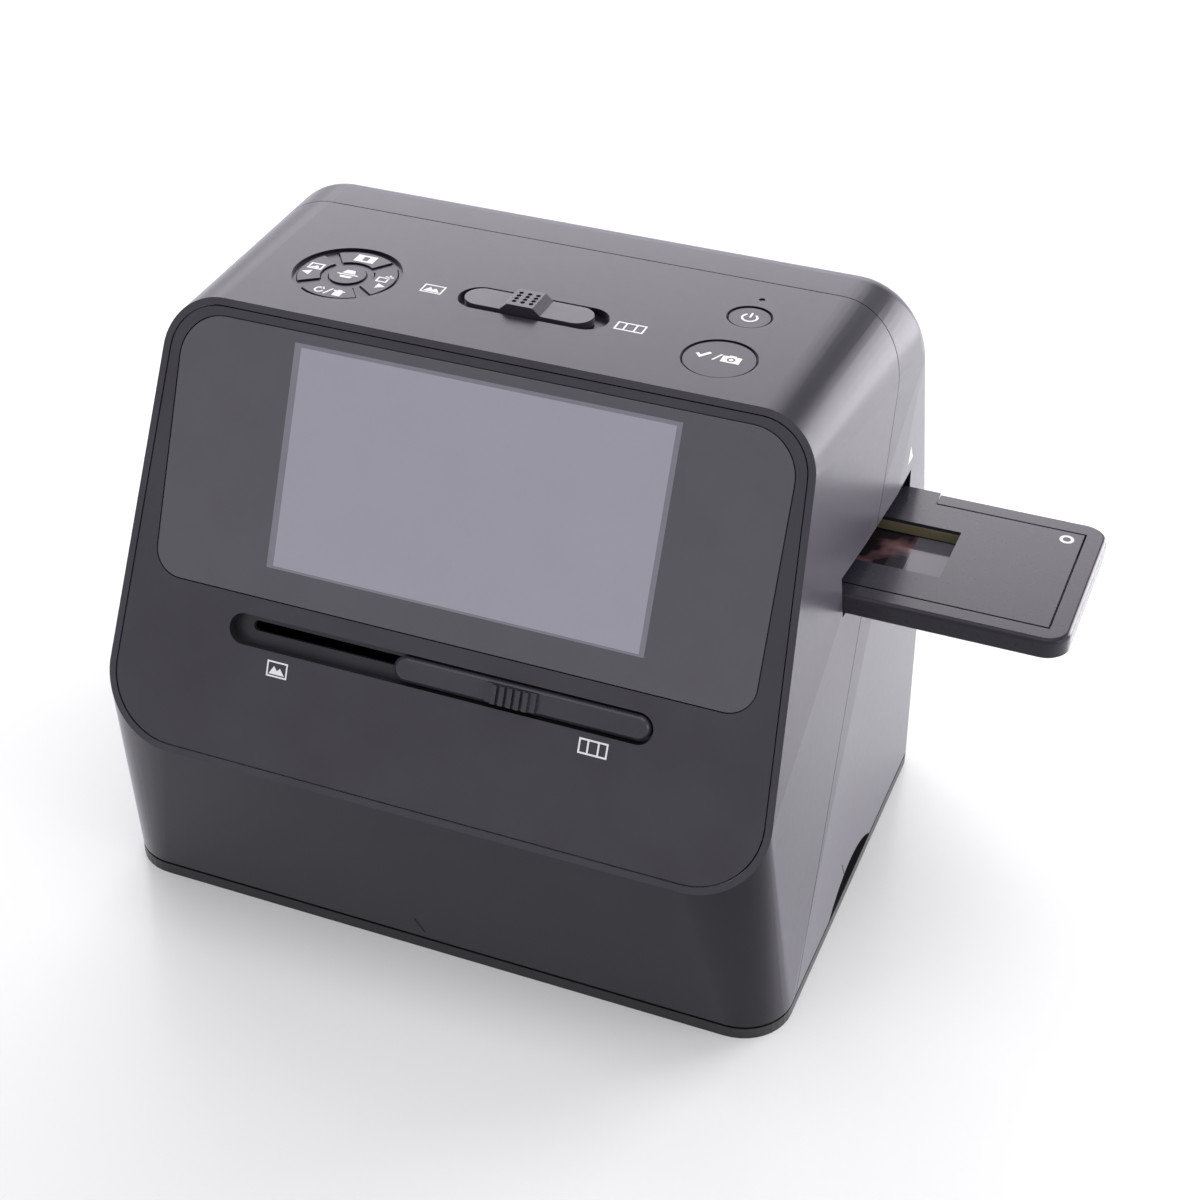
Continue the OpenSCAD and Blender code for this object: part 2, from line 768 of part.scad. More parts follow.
// Flat cable: a strip in the YZ plane, swept along X
module ribbon(x, pts, step) {
    back = [for (i = [len(pts) - 1:-1:0]) pts[i] + step];
    color("#c9c4b4") translate([x - ribbon_w / 2, 0, 0]) rotate([90, 0, 90]) linear_extrude(ribbon_w)
        polygon(concat(pts, back));
}

module display_ribbon() {
    start_v = view_v + standoff_v;
    start_n = display_back + display_bracket_t + 0.2;
    y = knee_y + start_v * sin(lean) + start_n * cos(lean);
    z = knee_z + start_v * cos(lean) - start_n * sin(lean);
    end_z = keypad_z - ribbon_t - 0.1;
    low = [y - ribbon_tail * sin(lean), z - ribbon_tail * cos(lean)];
    bend = keypad_y + ribbon_lead;
    ribbon(display_ribbon_x, [low, [y, z], [bend, end_z], [bend + ribbon_tail, end_z]],
        [ribbon_t, -ribbon_t / 3]);
}

// Flat cable from a board's back edge down to the top of the main board
module back_ribbon(x, start, z) {
    y = main_y - ribbon_t - 0.1;
    off = y - ribbon_off;
    bends = [[off, cover_top + ribbon_bow], [off, main_top + ribbon_drop]];
    ribbon(x, concat([[start - ribbon_tail, z], [start + ribbon_lead, z]], bends,
        [[y, main_top], [y, main_top - ribbon_tail]]), [ribbon_t, ribbon_t]);
}

module keypad_ribbon() {
    back_ribbon(keypad_ribbon_x, keypad_y + keypad_d, keypad_z - ribbon_t - 0.1);
}

module camera_ribbon() {
    back_ribbon(0, film_y + bracket_d / 2, bracket_z + bracket_t + board_t + 0.1);
}

module tower_posts() {
    color(trim_colour) for (p = post_places) difference() {
        translate([p[0] - post_w / 2, p[1] - post_w / 2, plate_top])
            cube([post_w, post_w, tray_z - plate_top]);
        translate([p[0], p[1], plate_top - eps]) cylinder(r = screw_bore_r, h = bore_depth);
    }
}

module film_tray() {
    color(trim_colour) difference() {
        translate([-tray_half, film_y - tray_w / 2, tray_z]) cube([2 * tray_half, tray_w, cover_z - tray_z]);
        translate([-far / 2, film_y - tray_w / 2 + rail_t, tray_top]) cube([far, tray_w - 2 * rail_t, far]);
        box_at([0, film_y, tray_z], [frame_l + 2, frame_h + 2, 3 * tray_t]);
    }
}

module film_cover() {
    color(trim_colour) difference() {
        translate([-tray_half, film_y - tray_w / 2, cover_z]) cube([2 * tray_half, tray_w, cover_t]);
        box_at([0, film_y, cover_z], [frame_l + 4, frame_h + 4, 3 * cover_t]);
    }
}

module rod_brackets() {
    plate_w = rod_gap + 4 * rod_r + 4;
    low = rod_z - 2 * rod_r - 1;
    color(steel_colour) for (x = [rod_left - rod_bracket_t, rod_right]) difference() {
        translate([x, film_y - plate_w / 2, low]) cube([rod_bracket_t, plate_w, tray_z - low]);
        for (s = [-1, 1]) translate([x - 1, film_y + s * rod_gap / 2, rod_z]) rotate([0, 90, 0])
            cylinder(r = rod_r + bore_gap, h = rod_bracket_t + 2);
    }
}

module guide_rods() {
    length = rod_right - rod_left + 2 * rod_bracket_t;
    color(steel_colour) for (s = [-1, 1])
        translate([rod_left - rod_bracket_t, film_y + s * rod_gap / 2, rod_z]) rotate([0, 90, 0])
            cylinder(r = rod_r, h = length);
}

module front_slider() {
    ribs = 5;
    rib_pitch = (grip_len - 3) / ribs;
    plate_h = recess_h - 2 * slider_gap;
    grip_w = plate_h - 2 * slider_edge;
    rib_w = rib_pitch * 0.6;
    straight = slider_len - plate_h;
    color(trim_colour) on_face() translate([slider_x, slider_v, 0]) {
        translate([0, 0, -recess_d + run_gap])
            linear_extrude(recess_d - run_gap - slider_sink - slider_edge) stadium(slider_len, plate_h);
        translate([0, 0, -slider_sink - slider_edge - eps]) {
            for (s = [-1, 1]) translate([s * straight / 2, 0, 0])
                cylinder(r1 = plate_h / 2, r2 = plate_h / 2 - slider_edge, h = slider_edge + eps);
            translate([-straight / 2, 0, 0]) rotate([90, 0, 90]) linear_extrude(straight)
                polygon(closed([[plate_h / 2, 0], [plate_h / 2 - slider_edge, slider_edge + eps]]));
        }
        translate([grip_shift - grip_len / 2, -grip_w / 2, -slider_sink - eps])
            cube([grip_len, grip_w, grip_h - 1.2 + eps]);
        for (i = [0:ribs - 1])
            translate([grip_shift + (i - (ribs - 1) / 2) * rib_pitch - rib_w / 2, -grip_w / 2,
                grip_h - 1.2 - slider_sink - eps]) cube([rib_w, grip_w, 1.2 + eps]);
        translate([-slider_x - stem_len / 2, stem_up - stem_h / 2, -arm_n])
            cube([stem_len, stem_h, arm_n - recess_d + run_gap + eps]);
    }
}

module slider_arm() {
    end_y = film_y - carriage_d / 2;
    foot_y = knee_y + slider_v * sin(lean) + (arm_n + arm_t / 2) * cos(lean);
    bar_z = min(arm_z, carriage_z);
    color(trim_colour) difference() {
        union() {
            on_face() translate([0, slider_v, -arm_n - arm_t / 2])
                cube([stem_len + arm_w, recess_h, arm_t], center = true);
            translate([-arm_w / 2, knee_y, bar_z]) cube([arm_w, end_y - knee_y, arm_h]);
            translate([-arm_w / 2, foot_y, bar_z]) cube([arm_w, arm_t, arm_z + arm_h - bar_z]);
            translate([-arm_w / 2, end_y - arm_t, bar_z]) cube([arm_w, arm_t, carriage_z + arm_h - bar_z]);
        }
        on_face() translate([-far / 2, 0, -arm_n]) cube(far);
    }
}

module backlight_carriage() {
    color("#d9d9d6") difference() {
        translate([-carriage_w / 2, film_y - carriage_d / 2, carriage_z])
            cube([carriage_w, carriage_d, carriage_h]);
        box_at([0, film_y, carriage_top], [lamp_w, lamp_d, 2 * diffuser_t]);
        translate([-lamp_w / 2 + lamp_edge, film_y - lamp_d / 2 + lamp_edge, carriage_z + floor_t])
            cube([lamp_w - 2 * lamp_edge, lamp_d - 2 * lamp_edge, carriage_h]);
        for (s = [-1, 1]) translate([-carriage_w, film_y + s * rod_gap / 2, rod_z]) rotate([0, 90, 0])
            cylinder(r = rod_r + bore_gap, h = 2 * carriage_w);
    }
}

module backlight_board() {
    leds = 4;
    w = lamp_w - 2 * lamp_edge - 0.6;
    d = lamp_d - 2 * lamp_edge - 0.6;
    color(board_colour) translate([0, film_y, carriage_z + floor_t]) {
        translate([-w / 2, -d / 2, 0]) cube([w, d, board_t]);
        for (i = [0:leds - 1]) for (j = [-1, 1])
            box_at([(i - (leds - 1) / 2) * w / leds, j * d / 4, board_t + led_h / 2],
                [led_w, led_w, led_h + eps]);
    }
}

module backlight_diffuser() {
    color("#f2f2ee") translate([0, film_y, carriage_top - diffuser_t / 2])
        cube([lamp_w - 0.4, lamp_d - 0.4, diffuser_t - 0.1], center = true);
}

module camera_bracket() {
    color(steel_colour) difference() {
        translate([-bracket_w / 2, film_y - bracket_d / 2, cover_top])
            cube([bracket_w, bracket_d, bracket_z + bracket_t - cover_top]);
        translate([-bracket_w / 2 + bracket_t, -far / 2, cover_top - 1])
            cube([bracket_w - 2 * bracket_t, far, bracket_z - cover_top + 1]);
        translate([0, film_y, bracket_z - 1]) cylinder(r = sensor_hole_r, h = bracket_t + 2);
    }
}

module camera_board() {
    color(board_colour) {
        translate([-bracket_w / 2 + sensor_side, film_y - bracket_d / 2, bracket_z + bracket_t])
            cube([bracket_w - 2 * sensor_side, bracket_d, board_t]);
        box_at([0, film_y, bracket_z + bracket_t - sensor_h / 2], [sensor_w, sensor_d, sensor_h + eps]);
    }
}

module focus_pins() {
    color(steel_colour) for (s = [-1, 1]) translate([s * pin_gap / 2, film_y, cover_top])
        cylinder(r = pin_r, h = bracket_z - cover_top);
}

module lens_carriage() {
    color(trim_colour) difference() {
        union() {
            box_at([0, film_y, lens_z + lens_plate_t / 2], [lens_plate_w, lens_plate_d, lens_plate_t]);
            translate([peg_x, film_y - lens_plate_d / 2 + 1, peg_z]) rotate([90, 0, 0])
                cylinder(r = peg_r, h = film_y - lens_plate_d / 2 + 1 - focus_y + web_t);
        }
        for (s = [-1, 1]) translate([s * pin_gap / 2, film_y, lens_z - 1])
            cylinder(r = pin_r + bore_gap, h = lens_plate_t + 2);
        translate([0, film_y, lens_z - 1]) cylinder(r = lens_r + bore_gap, h = lens_plate_t + 2);
    }
}

module lens_barrel() {
    bore = lens_r - 2;
    color("#1d1d1f") translate([0, film_y, lens_z + lens_plate_t / 2 - lens_len / 2]) difference() {
        cylinder(r = lens_r, h = lens_len);
        translate([0, 0, -1]) cylinder(r = bore - 1, h = lens_len + 2);
        translate([0, 0, -1]) cylinder(r = bore, h = 4);
        translate([0, 0, lens_len - 3]) cylinder(r = bore, h = 4);
    }
}

module lens_elements() {
    glass_r_in = lens_r - 2 - bore_gap;
    color("#b8c8d8", 0.5) translate([0, film_y, lens_z + lens_plate_t / 2 - lens_len / 2])
        for (z = [1, lens_len - 3]) translate([0, 0, z]) cylinder(r = glass_r_in, h = 2);
}

module mode_switch() {
    plate_w = switch_w - 2 * switch_gap;
    color(trim_colour) translate([switch_plate_x, switch_y, 0]) difference() {
        union() {
            translate([plate_shift, 0, switch_plate_z]) linear_extrude(switch_top - switch_plate_z)
                stadium(switch_plate_len, plate_w);
            translate([0, 0, switch_top]) rotate([90, 0, 0]) linear_extrude(plate_w, center = true)
                polygon(closed([[knob_len / 2, -eps], [knob_top / 2, knob_h]]));
            box_at([0, 0, (switch_plate_z + focus_z) / 2 + eps],
                [switch_stem_w, switch_stem_d, switch_plate_z - focus_z + 2 * eps]);
        }
        for (i = [-1:1]) for (j = [-1.5:1.5])
            translate([i * dimple_dx, j * dimple_dy, switch_top + knob_h])
                cylinder(r = dimple_r, h = 2 * dimple_r, center = true, $fn = 12);
    }
}

module focus_slide() {
    slope = atan(focus_drop / switch_travel);
    run = sqrt(pow(focus_drop, 2) + pow(switch_travel, 2));
    color(trim_colour) difference() {
        union() {
            translate([switch_plate_x - focus_plate_w / 2, focus_y - web_t / 2, focus_z - focus_plate_t])
                cube([focus_plate_w, switch_y + switch_stem_d - focus_y, focus_plate_t]);
            translate([switch_plate_x - focus_plate_w / 2, focus_y - web_t / 2, web_low])
                cube([focus_plate_w, web_t, focus_z - web_low - eps]);
        }
        translate([peg_x, focus_y, peg_z]) rotate([0, -slope, 0]) {
            rotate([90, 0, 0]) cylinder(r = peg_r + peg_gap, h = 4 * web_t, center = true);
            translate([-run, 0, 0]) rotate([90, 0, 0])
                cylinder(r = peg_r + peg_gap, h = 4 * web_t, center = true);
            box_at([-run / 2, 0, 0], [run, 4 * web_t, 2 * (peg_r + peg_gap)]);
        }
    }
}

module keypad_board() {
    color(board_colour) difference() {
        translate([-keypad_w / 2, keypad_y, keypad_z]) cube([keypad_w, keypad_d, board_t]);
        box_at([keypad_hole_x, keypad_hole_y, keypad_z], [keypad_hole[0], keypad_hole[1], 4 * board_t]);
    }
}

module tact_switches() {
    color(trim_colour) for (p = tact_places) translate([p[0] - tact_w / 2, p[1] - tact_w / 2, keypad_top])
        cube([tact_w, tact_w, tact_h]);
}

module power_lamp() {
    color("#dfe8f0") translate([keys_x, lamp_y, keypad_top]) cylinder(r = lamp_r, h = lamp_top - keypad_top);
}

// Round push button: a cap, a flange under the shell and a stem over its switch
module round_button(place, r) {
    color(panel_colour) translate([place[0], place[1], 0]) {
        translate([0, 0, flange_top - flange_t]) cylinder(r = r + flange_w, h = flange_t);
        translate([0, 0, flange_top - eps]) cylinder(r = r, h = cap_top - flange_top + eps);
        translate([0, 0, stem_end]) cylinder(r = stem_r, h = flange_top - flange_t - stem_end + eps);
    }
}

module power_button() {
    round_button([keys_x, power_y], power_r);
}

module capture_button() {
    round_button([keys_x, capture_y], capture_r);
}

module nav_button(angle) {
    color(panel_colour) translate([pad_x, pad_y, 0]) rotate(angle) {
        translate([0, 0, flange_top - flange_t]) linear_extrude(flange_t)
            sector(nav_in_r, nav_r, nav_half, nav_flange);
        translate([0, 0, flange_top - eps]) linear_extrude(nav_top - flange_top + eps)
            sector(nav_in_r, nav_r, nav_half, 0);
        translate([0, nav_stem_y, stem_end]) cylinder(r = stem_r, h = flange_top - flange_t - stem_end + eps);
    }
}

module nav_up() {
    nav_button(0);
}

module nav_left() {
    nav_button(90);
}

module nav_down() {
    nav_button(180);
}

module nav_right() {
    nav_button(270);
}

module nav_centre() {
    color(panel_colour) translate([pad_x, pad_y, 0]) {
        translate([0, 0, flange_top - flange_t]) cylinder(r = nav_mid_r + nav_flange, h = flange_t);
        translate([0, 0, flange_top - eps]) cylinder(r = nav_mid_r, h = nav_top - flange_top + eps);
        translate([0, 0, stem_end]) cylinder(r = stem_r, h = flange_top - flange_t - stem_end + eps);
    }
}

module frame_windows(extra) {
    for (x = frame_places) box_at([x, film_y, holder_z], [frame_l + extra, frame_h + extra, 4 * holder_t]);
}

// Tabs that carry the lid over the holder's back rail, or with a margin the notches for them
module lid_tabs(margin) {
    start = film_y + lid_w / 2 - 2 * lid_gap;
    for (x = tab_places) translate([x - tab_len / 2 - margin, start, lid_z])
        cube([tab_len + 2 * margin, film_y + holder_w / 2 + margin - start, lid_t + margin]);
}

module hinge_pins(r, reach) {
    for (x = tab_places) translate([x - tab_len / 2 - reach, hinge_y, hinge_z]) rotate([0, 90, 0])
        cylinder(r = r, h = tab_len + 2 * reach);
}

module holder_base() {
    color(panel_colour) difference() {
        translate([lid_x, film_y, holder_z]) linear_extrude(holder_t)
            rounded_rect(holder_len, holder_w, holder_r);
        box_at([lid_x, film_y, holder_z + holder_t], [lid_len, lid_w, 2 * lid_t]);
        box_at([lid_x, film_y, lid_z], [lid_len - 2 * film_end, film_w + 2 * run_gap, 2 * (lid_z - film_z)]);
        lid_tabs(lid_gap);
        frame_windows(1);
        hinge_pins(hinge_r + bore_gap, hinge_len);
    }
}

module holder_lid() {
    color(panel_colour) difference() {
        union() {
            box_at([lid_x, film_y, hinge_z], [lid_len - 2 * lid_gap, lid_w - 2 * lid_gap, lid_t]);
            lid_tabs(0);
        }
        frame_windows(0);
        hinge_pins(hinge_r + bore_gap, hinge_len);
    }
}

module holder_pins() {
    color(steel_colour) hinge_pins(hinge_r, hinge_len - 0.5);
}

module film_strip() {
    color("#5a3a24") translate([lid_x, film_y, film_z + film_t / 2])
        cube([lid_len - 2 * film_end - 2, film_w, film_t], center = true);
}

module main_board() {
    color(board_colour) {
        translate([-main_w / 2, main_y, main_z]) cube([main_w, board_t, main_h]);
        box_at([-20, main_y - 0.7, main_z + main_h / 2], [16, 1.4 + eps, 16]);
        box_at([18, main_y - 0.5, main_z + main_h / 2 + 4], [12, 1 + eps, 9]);
    }
}

// Socket on the back of the main board, open towards +Y, with a tongue in its mouth
module socket(x, w, h, tongue) {
    length = port_end - main_y - board_t;
    lip = 0.5;
    difference() {
        translate([x - w / 2, main_y + board_t, port_z - h / 2]) cube([w, length, h]);
        translate([x - w / 2 + lip, port_end - length / 2, port_z - h / 2 + lip])
            cube([w - 2 * lip, length, h - 2 * lip]);
    }
    box_at([x, port_end - length / 3, port_z], [tongue, length / 3 + 2 * eps, 0.7]);
}

module usb_socket() {
    color(steel_colour) {
        socket(usb_x, usb_w, usb_h, usb_w - 4);
        box_at([usb_x, port_end - (port_end - main_y - board_t) / 2, port_z], [usb_w - 4, 1, 0.7]);
    }
}

module card_socket() {
    length = port_end - main_y - board_t;
    color(steel_colour) difference() {
        translate([card_x - card_w / 2, main_y + board_t, port_z - card_h / 2])
            cube([card_w, length, card_h]);
        box_at([card_x, port_end, port_z], [card_w - 2, 1.6 * length, card_h - 1.4]);
    }
}

module photo_lamps() {
    leds = 6;
    length = 2 * post_dy + post_w;
    mid_z = lamp_bar_z + lamp_bar_h / 2;
    color(board_colour) for (s = [-1, 1]) {
        x = s * (post_x - post_w / 2 - lamp_bar_t / 2);
        box_at([x, film_y, mid_z], [lamp_bar_t, length, lamp_bar_h]);
        for (i = [0:leds - 1])
            box_at([x - s * (lamp_bar_t + led_h) / 2, film_y + (i - (leds - 1) / 2) * length / leds, mid_z],
                [led_h + eps, led_w, led_w]);
    }
}

front_shell();
rear_shell();
base_ring();
bottom_plate();
photo_glass();
case_screws();
front_panel();
screen_glass();
display_module();
display_bracket();
display_ribbon();
tower_posts();
film_tray();
film_cover();
rod_brackets();
guide_rods();
front_slider();
slider_arm();
backlight_carriage();
backlight_board();
backlight_diffuser();
camera_bracket();
camera_board();
camera_ribbon();
focus_pins();
lens_carriage();
lens_barrel();
lens_elements();
mode_switch();
focus_slide();
keypad_board();
keypad_ribbon();
tact_switches();
power_lamp();
power_button();
capture_button();
nav_up();
nav_down();
nav_left();
nav_right();
nav_centre();
holder_base();
holder_lid();
holder_pins();
film_strip();
main_board();
usb_socket();
card_socket();
photo_lamps();
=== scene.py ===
import bmesh
import bpy
import math
from mathutils import Matrix, Vector

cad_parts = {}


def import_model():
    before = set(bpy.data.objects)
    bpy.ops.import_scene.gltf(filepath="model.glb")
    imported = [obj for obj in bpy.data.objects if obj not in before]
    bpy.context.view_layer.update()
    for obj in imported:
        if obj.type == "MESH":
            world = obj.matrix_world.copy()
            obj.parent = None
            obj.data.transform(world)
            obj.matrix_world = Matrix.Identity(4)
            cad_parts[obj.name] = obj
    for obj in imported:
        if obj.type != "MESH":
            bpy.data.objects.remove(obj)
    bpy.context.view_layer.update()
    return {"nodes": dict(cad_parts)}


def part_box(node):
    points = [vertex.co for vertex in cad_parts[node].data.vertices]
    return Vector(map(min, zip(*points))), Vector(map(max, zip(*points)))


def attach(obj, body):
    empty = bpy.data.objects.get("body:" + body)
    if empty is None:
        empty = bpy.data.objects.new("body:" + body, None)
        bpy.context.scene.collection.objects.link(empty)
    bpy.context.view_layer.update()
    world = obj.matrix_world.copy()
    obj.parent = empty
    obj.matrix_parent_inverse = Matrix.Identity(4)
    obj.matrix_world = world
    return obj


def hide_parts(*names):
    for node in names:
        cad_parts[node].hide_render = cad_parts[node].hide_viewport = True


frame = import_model()
NODES = frame["nodes"]
MM = 0.001

# Sizes from the part's source, in millimetres
BASE_W, FRONT_Y, BACK_Y = 210.0, -5.0, 140.0
FOOT_R, BACK_R, WALL = 15.0, 9.0, 2.6
KNEE_Y, KNEE_Z, LEAN, FACE_LEN = -14.0, 58.0, math.radians(24), 131.0
FACE_LOW, FACE_TOP, FACE_R_LOW, FACE_R_TOP = 202.5, 187.0, 22.0, 17.0
BODY_H = KNEE_Z + FACE_LEN * math.cos(LEAN)
TOP_Y = KNEE_Y + FACE_LEN * math.sin(LEAN)
REAR_W, REAR_IN, REAR_R = 202.0, 7.8, Vector((22.0, 15.5, 24.0))
BULGES = ((2.8, 69.0), (0.2, 95.0))
SEAM_LEAN, SEAM_GAP, SEAM_BACK = math.radians(28), 0.3, 66
SEAM_Y = TOP_Y + SEAM_BACK - BODY_H * math.tan(SEAM_LEAN)
SHELL_Z, RING_H, PLATE_TOP = 4.4, 3.6, 6.6
FILM_Y, SLOT_Z, SLOT_H, SLOT_W = 79.5, 112.0, 12.5, 61.0
PAD = (-53.3, TOP_Y + 26.4)
CAPTURE = (59.0, TOP_Y + 19.8)
POWER = (59.0, TOP_Y + 44.8)
LAMP = (59.0, TOP_Y + 55.5)
SWITCH = (2.9, TOP_Y + 27.0)
PAD_R, PAD_DEPTH, PAD_MID_R = 15.6, 1.0, 5.6
KEY_IN, KEY_OUT, KEY_HALF, KEY_GAP = 7.8, 14.0, 36, 0.4
CAPTURE_R, POWER_R, LAMP_R = 10.4, 6.4, 0.9
SWITCH_LEN, SWITCH_H, SWITCH_DEPTH, SWITCH_RIM = 44, 12.8, 2.2, 4
STEM_SLOT = (10.8, 4.8)
CAP_Z, NAV_Z, PRINT_Z = -0.3, -0.55, -0.2
BOSS_X, BOSS_R, BOSS_H, FRONT_BOSS_Y, REAR_BOSS_Y = 86, 4.2, 12, 3.5, 131.5
NOTCH_Y, NOTCH_TOP, NOTCH_HALF, NOTCH_RISE = 67.5, 11.6, 21.5, 7.2
SOCKET_Z, SOCKET_CUT, USB, CARD = 26, 36, (-30, 9.8, 2.1), (10, 27.8, 2.4)
RECESS_HALF, RECESS_LOW, RECESS_HIGH, RECESS_D = 64, 36, 46, 4.2
FRAMES, FRAME_W, FRAME_H, CLEAR_X = (103.8, 65.8, 27.8), 36, 24, 110.0
FACE = Matrix.Translation((0, KNEE_Y, KNEE_Z)) @ Matrix.Rotation(math.pi / 2 - LEAN, 4, "X")
TOP = Matrix.Translation((0, 0, BODY_H))
ALONG_X = Matrix(((0, 0, 1, 0), (1, 0, 0, 0), (0, 1, 0, 0), (0, 0, 0, 1)))


# Materials

def new_material(name):
    mat = bpy.data.materials.new(name)
    mat.use_nodes = True
    tree = mat.node_tree
    return mat, tree, tree.nodes["Principled BSDF"]


def mapped(tree, scale, detail=4.0, rough=0.55):
    coord = tree.nodes.new("ShaderNodeTexCoord")
    noise = tree.nodes.new("ShaderNodeTexNoise")
    noise.inputs["Scale"].default_value = scale
    noise.inputs["Detail"].default_value = detail
    noise.inputs["Roughness"].default_value = rough
    tree.links.new(coord.outputs["Object"], noise.inputs["Vector"])
    return noise


def ramp(tree, source, low, high, start=0.35, end=0.65):
    node = tree.nodes.new("ShaderNodeValToRGB")
    node.color_ramp.elements[0].position = start
    node.color_ramp.elements[1].position = end
    node.color_ramp.elements[0].color = (*low, 1)
    node.color_ramp.elements[1].color = (*high, 1)
    tree.links.new(source, node.inputs["Fac"])
    return node


def to_range(tree, source, low, high):
    node = tree.nodes.new("ShaderNodeMapRange")
    node.inputs["From Min"].default_value = 0.3
    node.inputs["From Max"].default_value = 0.7
    node.inputs["To Min"].default_value = low
    node.inputs["To Max"].default_value = high
    tree.links.new(source, node.inputs["Value"])
    return node


def bump(tree, source, bsdf, strength, distance):
    node = tree.nodes.new("ShaderNodeBump")
    node.inputs["Strength"].default_value = strength
    node.inputs["Distance"].default_value = distance
    tree.links.new(source, node.inputs["Height"])
    tree.links.new(node.outputs["Normal"], bsdf.inputs["Normal"])
    return node


def plastic(name, colour, rough, spread=0.02, tint=0.12, grain=2600, strength=0.008, level=0.5, coat=0.0,
            coat_rough=0.2, ior=1.5, edge=1.0, haze=0.0):
    """Moulded plastic: fine grain, cloudy tone, varying gloss, and a haze at low angles."""
    mat, tree, bsdf = new_material(name)
    cloud = mapped(tree, 35, 3)
    fine = mapped(tree, grain, 2, 0.7)
    mid = mapped(tree, 420, 3)
    low = [c * (1 - tint) for c in colour]
    high = [c * (1 + tint) for c in colour]
    tree.links.new(ramp(tree, cloud.outputs["Fac"], low, high).outputs["Color"], bsdf.inputs["Base Color"])
    tree.links.new(to_range(tree, mid.outputs["Fac"], rough - spread, rough + spread).outputs["Result"],
                   bsdf.inputs["Roughness"])
    if strength:
        bump(tree, fine.outputs["Fac"], bsdf, strength, 0.00003)
    bsdf.inputs["IOR"].default_value = ior
    bsdf.inputs["Specular IOR Level"].default_value = level
    bsdf.inputs["Coat Weight"].default_value = coat
    bsdf.inputs["Coat Roughness"].default_value = coat_rough
    bsdf.inputs["Coat IOR"].default_value = 1.19
    bsdf.inputs["Specular Tint"].default_value = (edge, edge, edge, 1)
    bsdf.inputs["Sheen Weight"].default_value = haze
    bsdf.inputs["Sheen Roughness"].default_value = 0.35
    bsdf.inputs["Sheen Tint"].default_value = (0.88, 0.83, 1.0, 1)
    return mat


def metal(name, colour, rough, stretch=(1, 1, 30), scale=900):
    """Drawn or ground metal with fine lines along one direction."""
    mat, tree, bsdf = new_material(name)
    coord = tree.nodes.new("ShaderNodeTexCoord")
    mapping = tree.nodes.new("ShaderNodeMapping")
    mapping.inputs["Scale"].default_value = stretch
    noise = tree.nodes.new("ShaderNodeTexNoise")
    noise.inputs["Scale"].default_value = scale
    noise.inputs["Detail"].default_value = 3
    tree.links.new(coord.outputs["Object"], mapping.inputs["Vector"])
    tree.links.new(mapping.outputs["Vector"], noise.inputs["Vector"])
    low = [c * 0.86 for c in colour]
    tree.links.new(ramp(tree, noise.outputs["Fac"], low, colour).outputs["Color"], bsdf.inputs["Base Color"])
    tree.links.new(to_range(tree, noise.outputs["Fac"], rough - 0.06, rough + 0.08).outputs["Result"],
                   bsdf.inputs["Roughness"])
    bump(tree, noise.outputs["Fac"], bsdf, 0.08, 0.00005)
    bsdf.inputs["Metallic"].default_value = 1.0
    return mat


def pane(name, colour, rough, alpha_like=0.0, coat=1.0, level=0.5, smears=0.05):
    """Smooth pane with faint smears in its gloss."""
    mat, tree, bsdf = new_material(name)
    smear = mapped(tree, 60, 4)
    tree.links.new(ramp(tree, smear.outputs["Fac"], [c * (1 - smears) for c in colour],
                        [c * (1 + smears) for c in colour]).outputs["Color"], bsdf.inputs["Base Color"])
    tree.links.new(to_range(tree, smear.outputs["Fac"], rough * 0.8, rough * 1.3).outputs["Result"],
                   bsdf.inputs["Roughness"])
    bump(tree, mapped(tree, 18, 2).outputs["Fac"], bsdf, 0.02, 0.0002)
    bsdf.inputs["Specular IOR Level"].default_value = level
    bsdf.inputs["Coat Weight"].default_value = coat
    bsdf.inputs["Coat Roughness"].default_value = rough
    bsdf.inputs["Transmission Weight"].default_value = alpha_like
    return mat


def picture(name, dark, light):
    """A developed frame: one soft patch of tone on a dark ground."""
    mat, tree, bsdf = new_material(name)
    patches = mapped(tree, 110, 2)
    tree.links.new(ramp(tree, patches.outputs["Fac"], dark, light, 0.52, 0.75).outputs["Color"],
                   bsdf.inputs["Base Color"])
    tree.links.new(to_range(tree, patches.outputs["Fac"], 0.08, 0.12).outputs["Result"], bsdf.inputs["Roughness"])
    bsdf.inputs["Specular IOR Level"].default_value = 0.3
    return mat


def board_material(name):
    """Green solder resist with lighter tracks under it."""
    mat, tree, bsdf = new_material(name)
    coord = tree.nodes.new("ShaderNodeTexCoord")
    brick = tree.nodes.new("ShaderNodeTexBrick")
    brick.inputs["Scale"].default_value = 160
    brick.inputs["Mortar Size"].default_value = 0.05
    brick.inputs["Color1"].default_value = (0.012, 0.07, 0.03, 1)
    brick.inputs["Color2"].default_value = (0.016, 0.085, 0.036, 1)
    brick.inputs["Mortar"].default_value = (0.03, 0.16, 0.07, 1)
    tree.links.new(coord.outputs["Object"], brick.inputs["Vector"])
    tree.links.new(brick.outputs["Color"], bsdf.inputs["Base Color"])
    bump(tree, brick.outputs["Fac"], bsdf, 0.1, 0.00005)
    tree.links.new(to_range(tree, mapped(tree, 200).outputs["Fac"], 0.3, 0.42).outputs["Result"],
                   bsdf.inputs["Roughness"])
    return mat


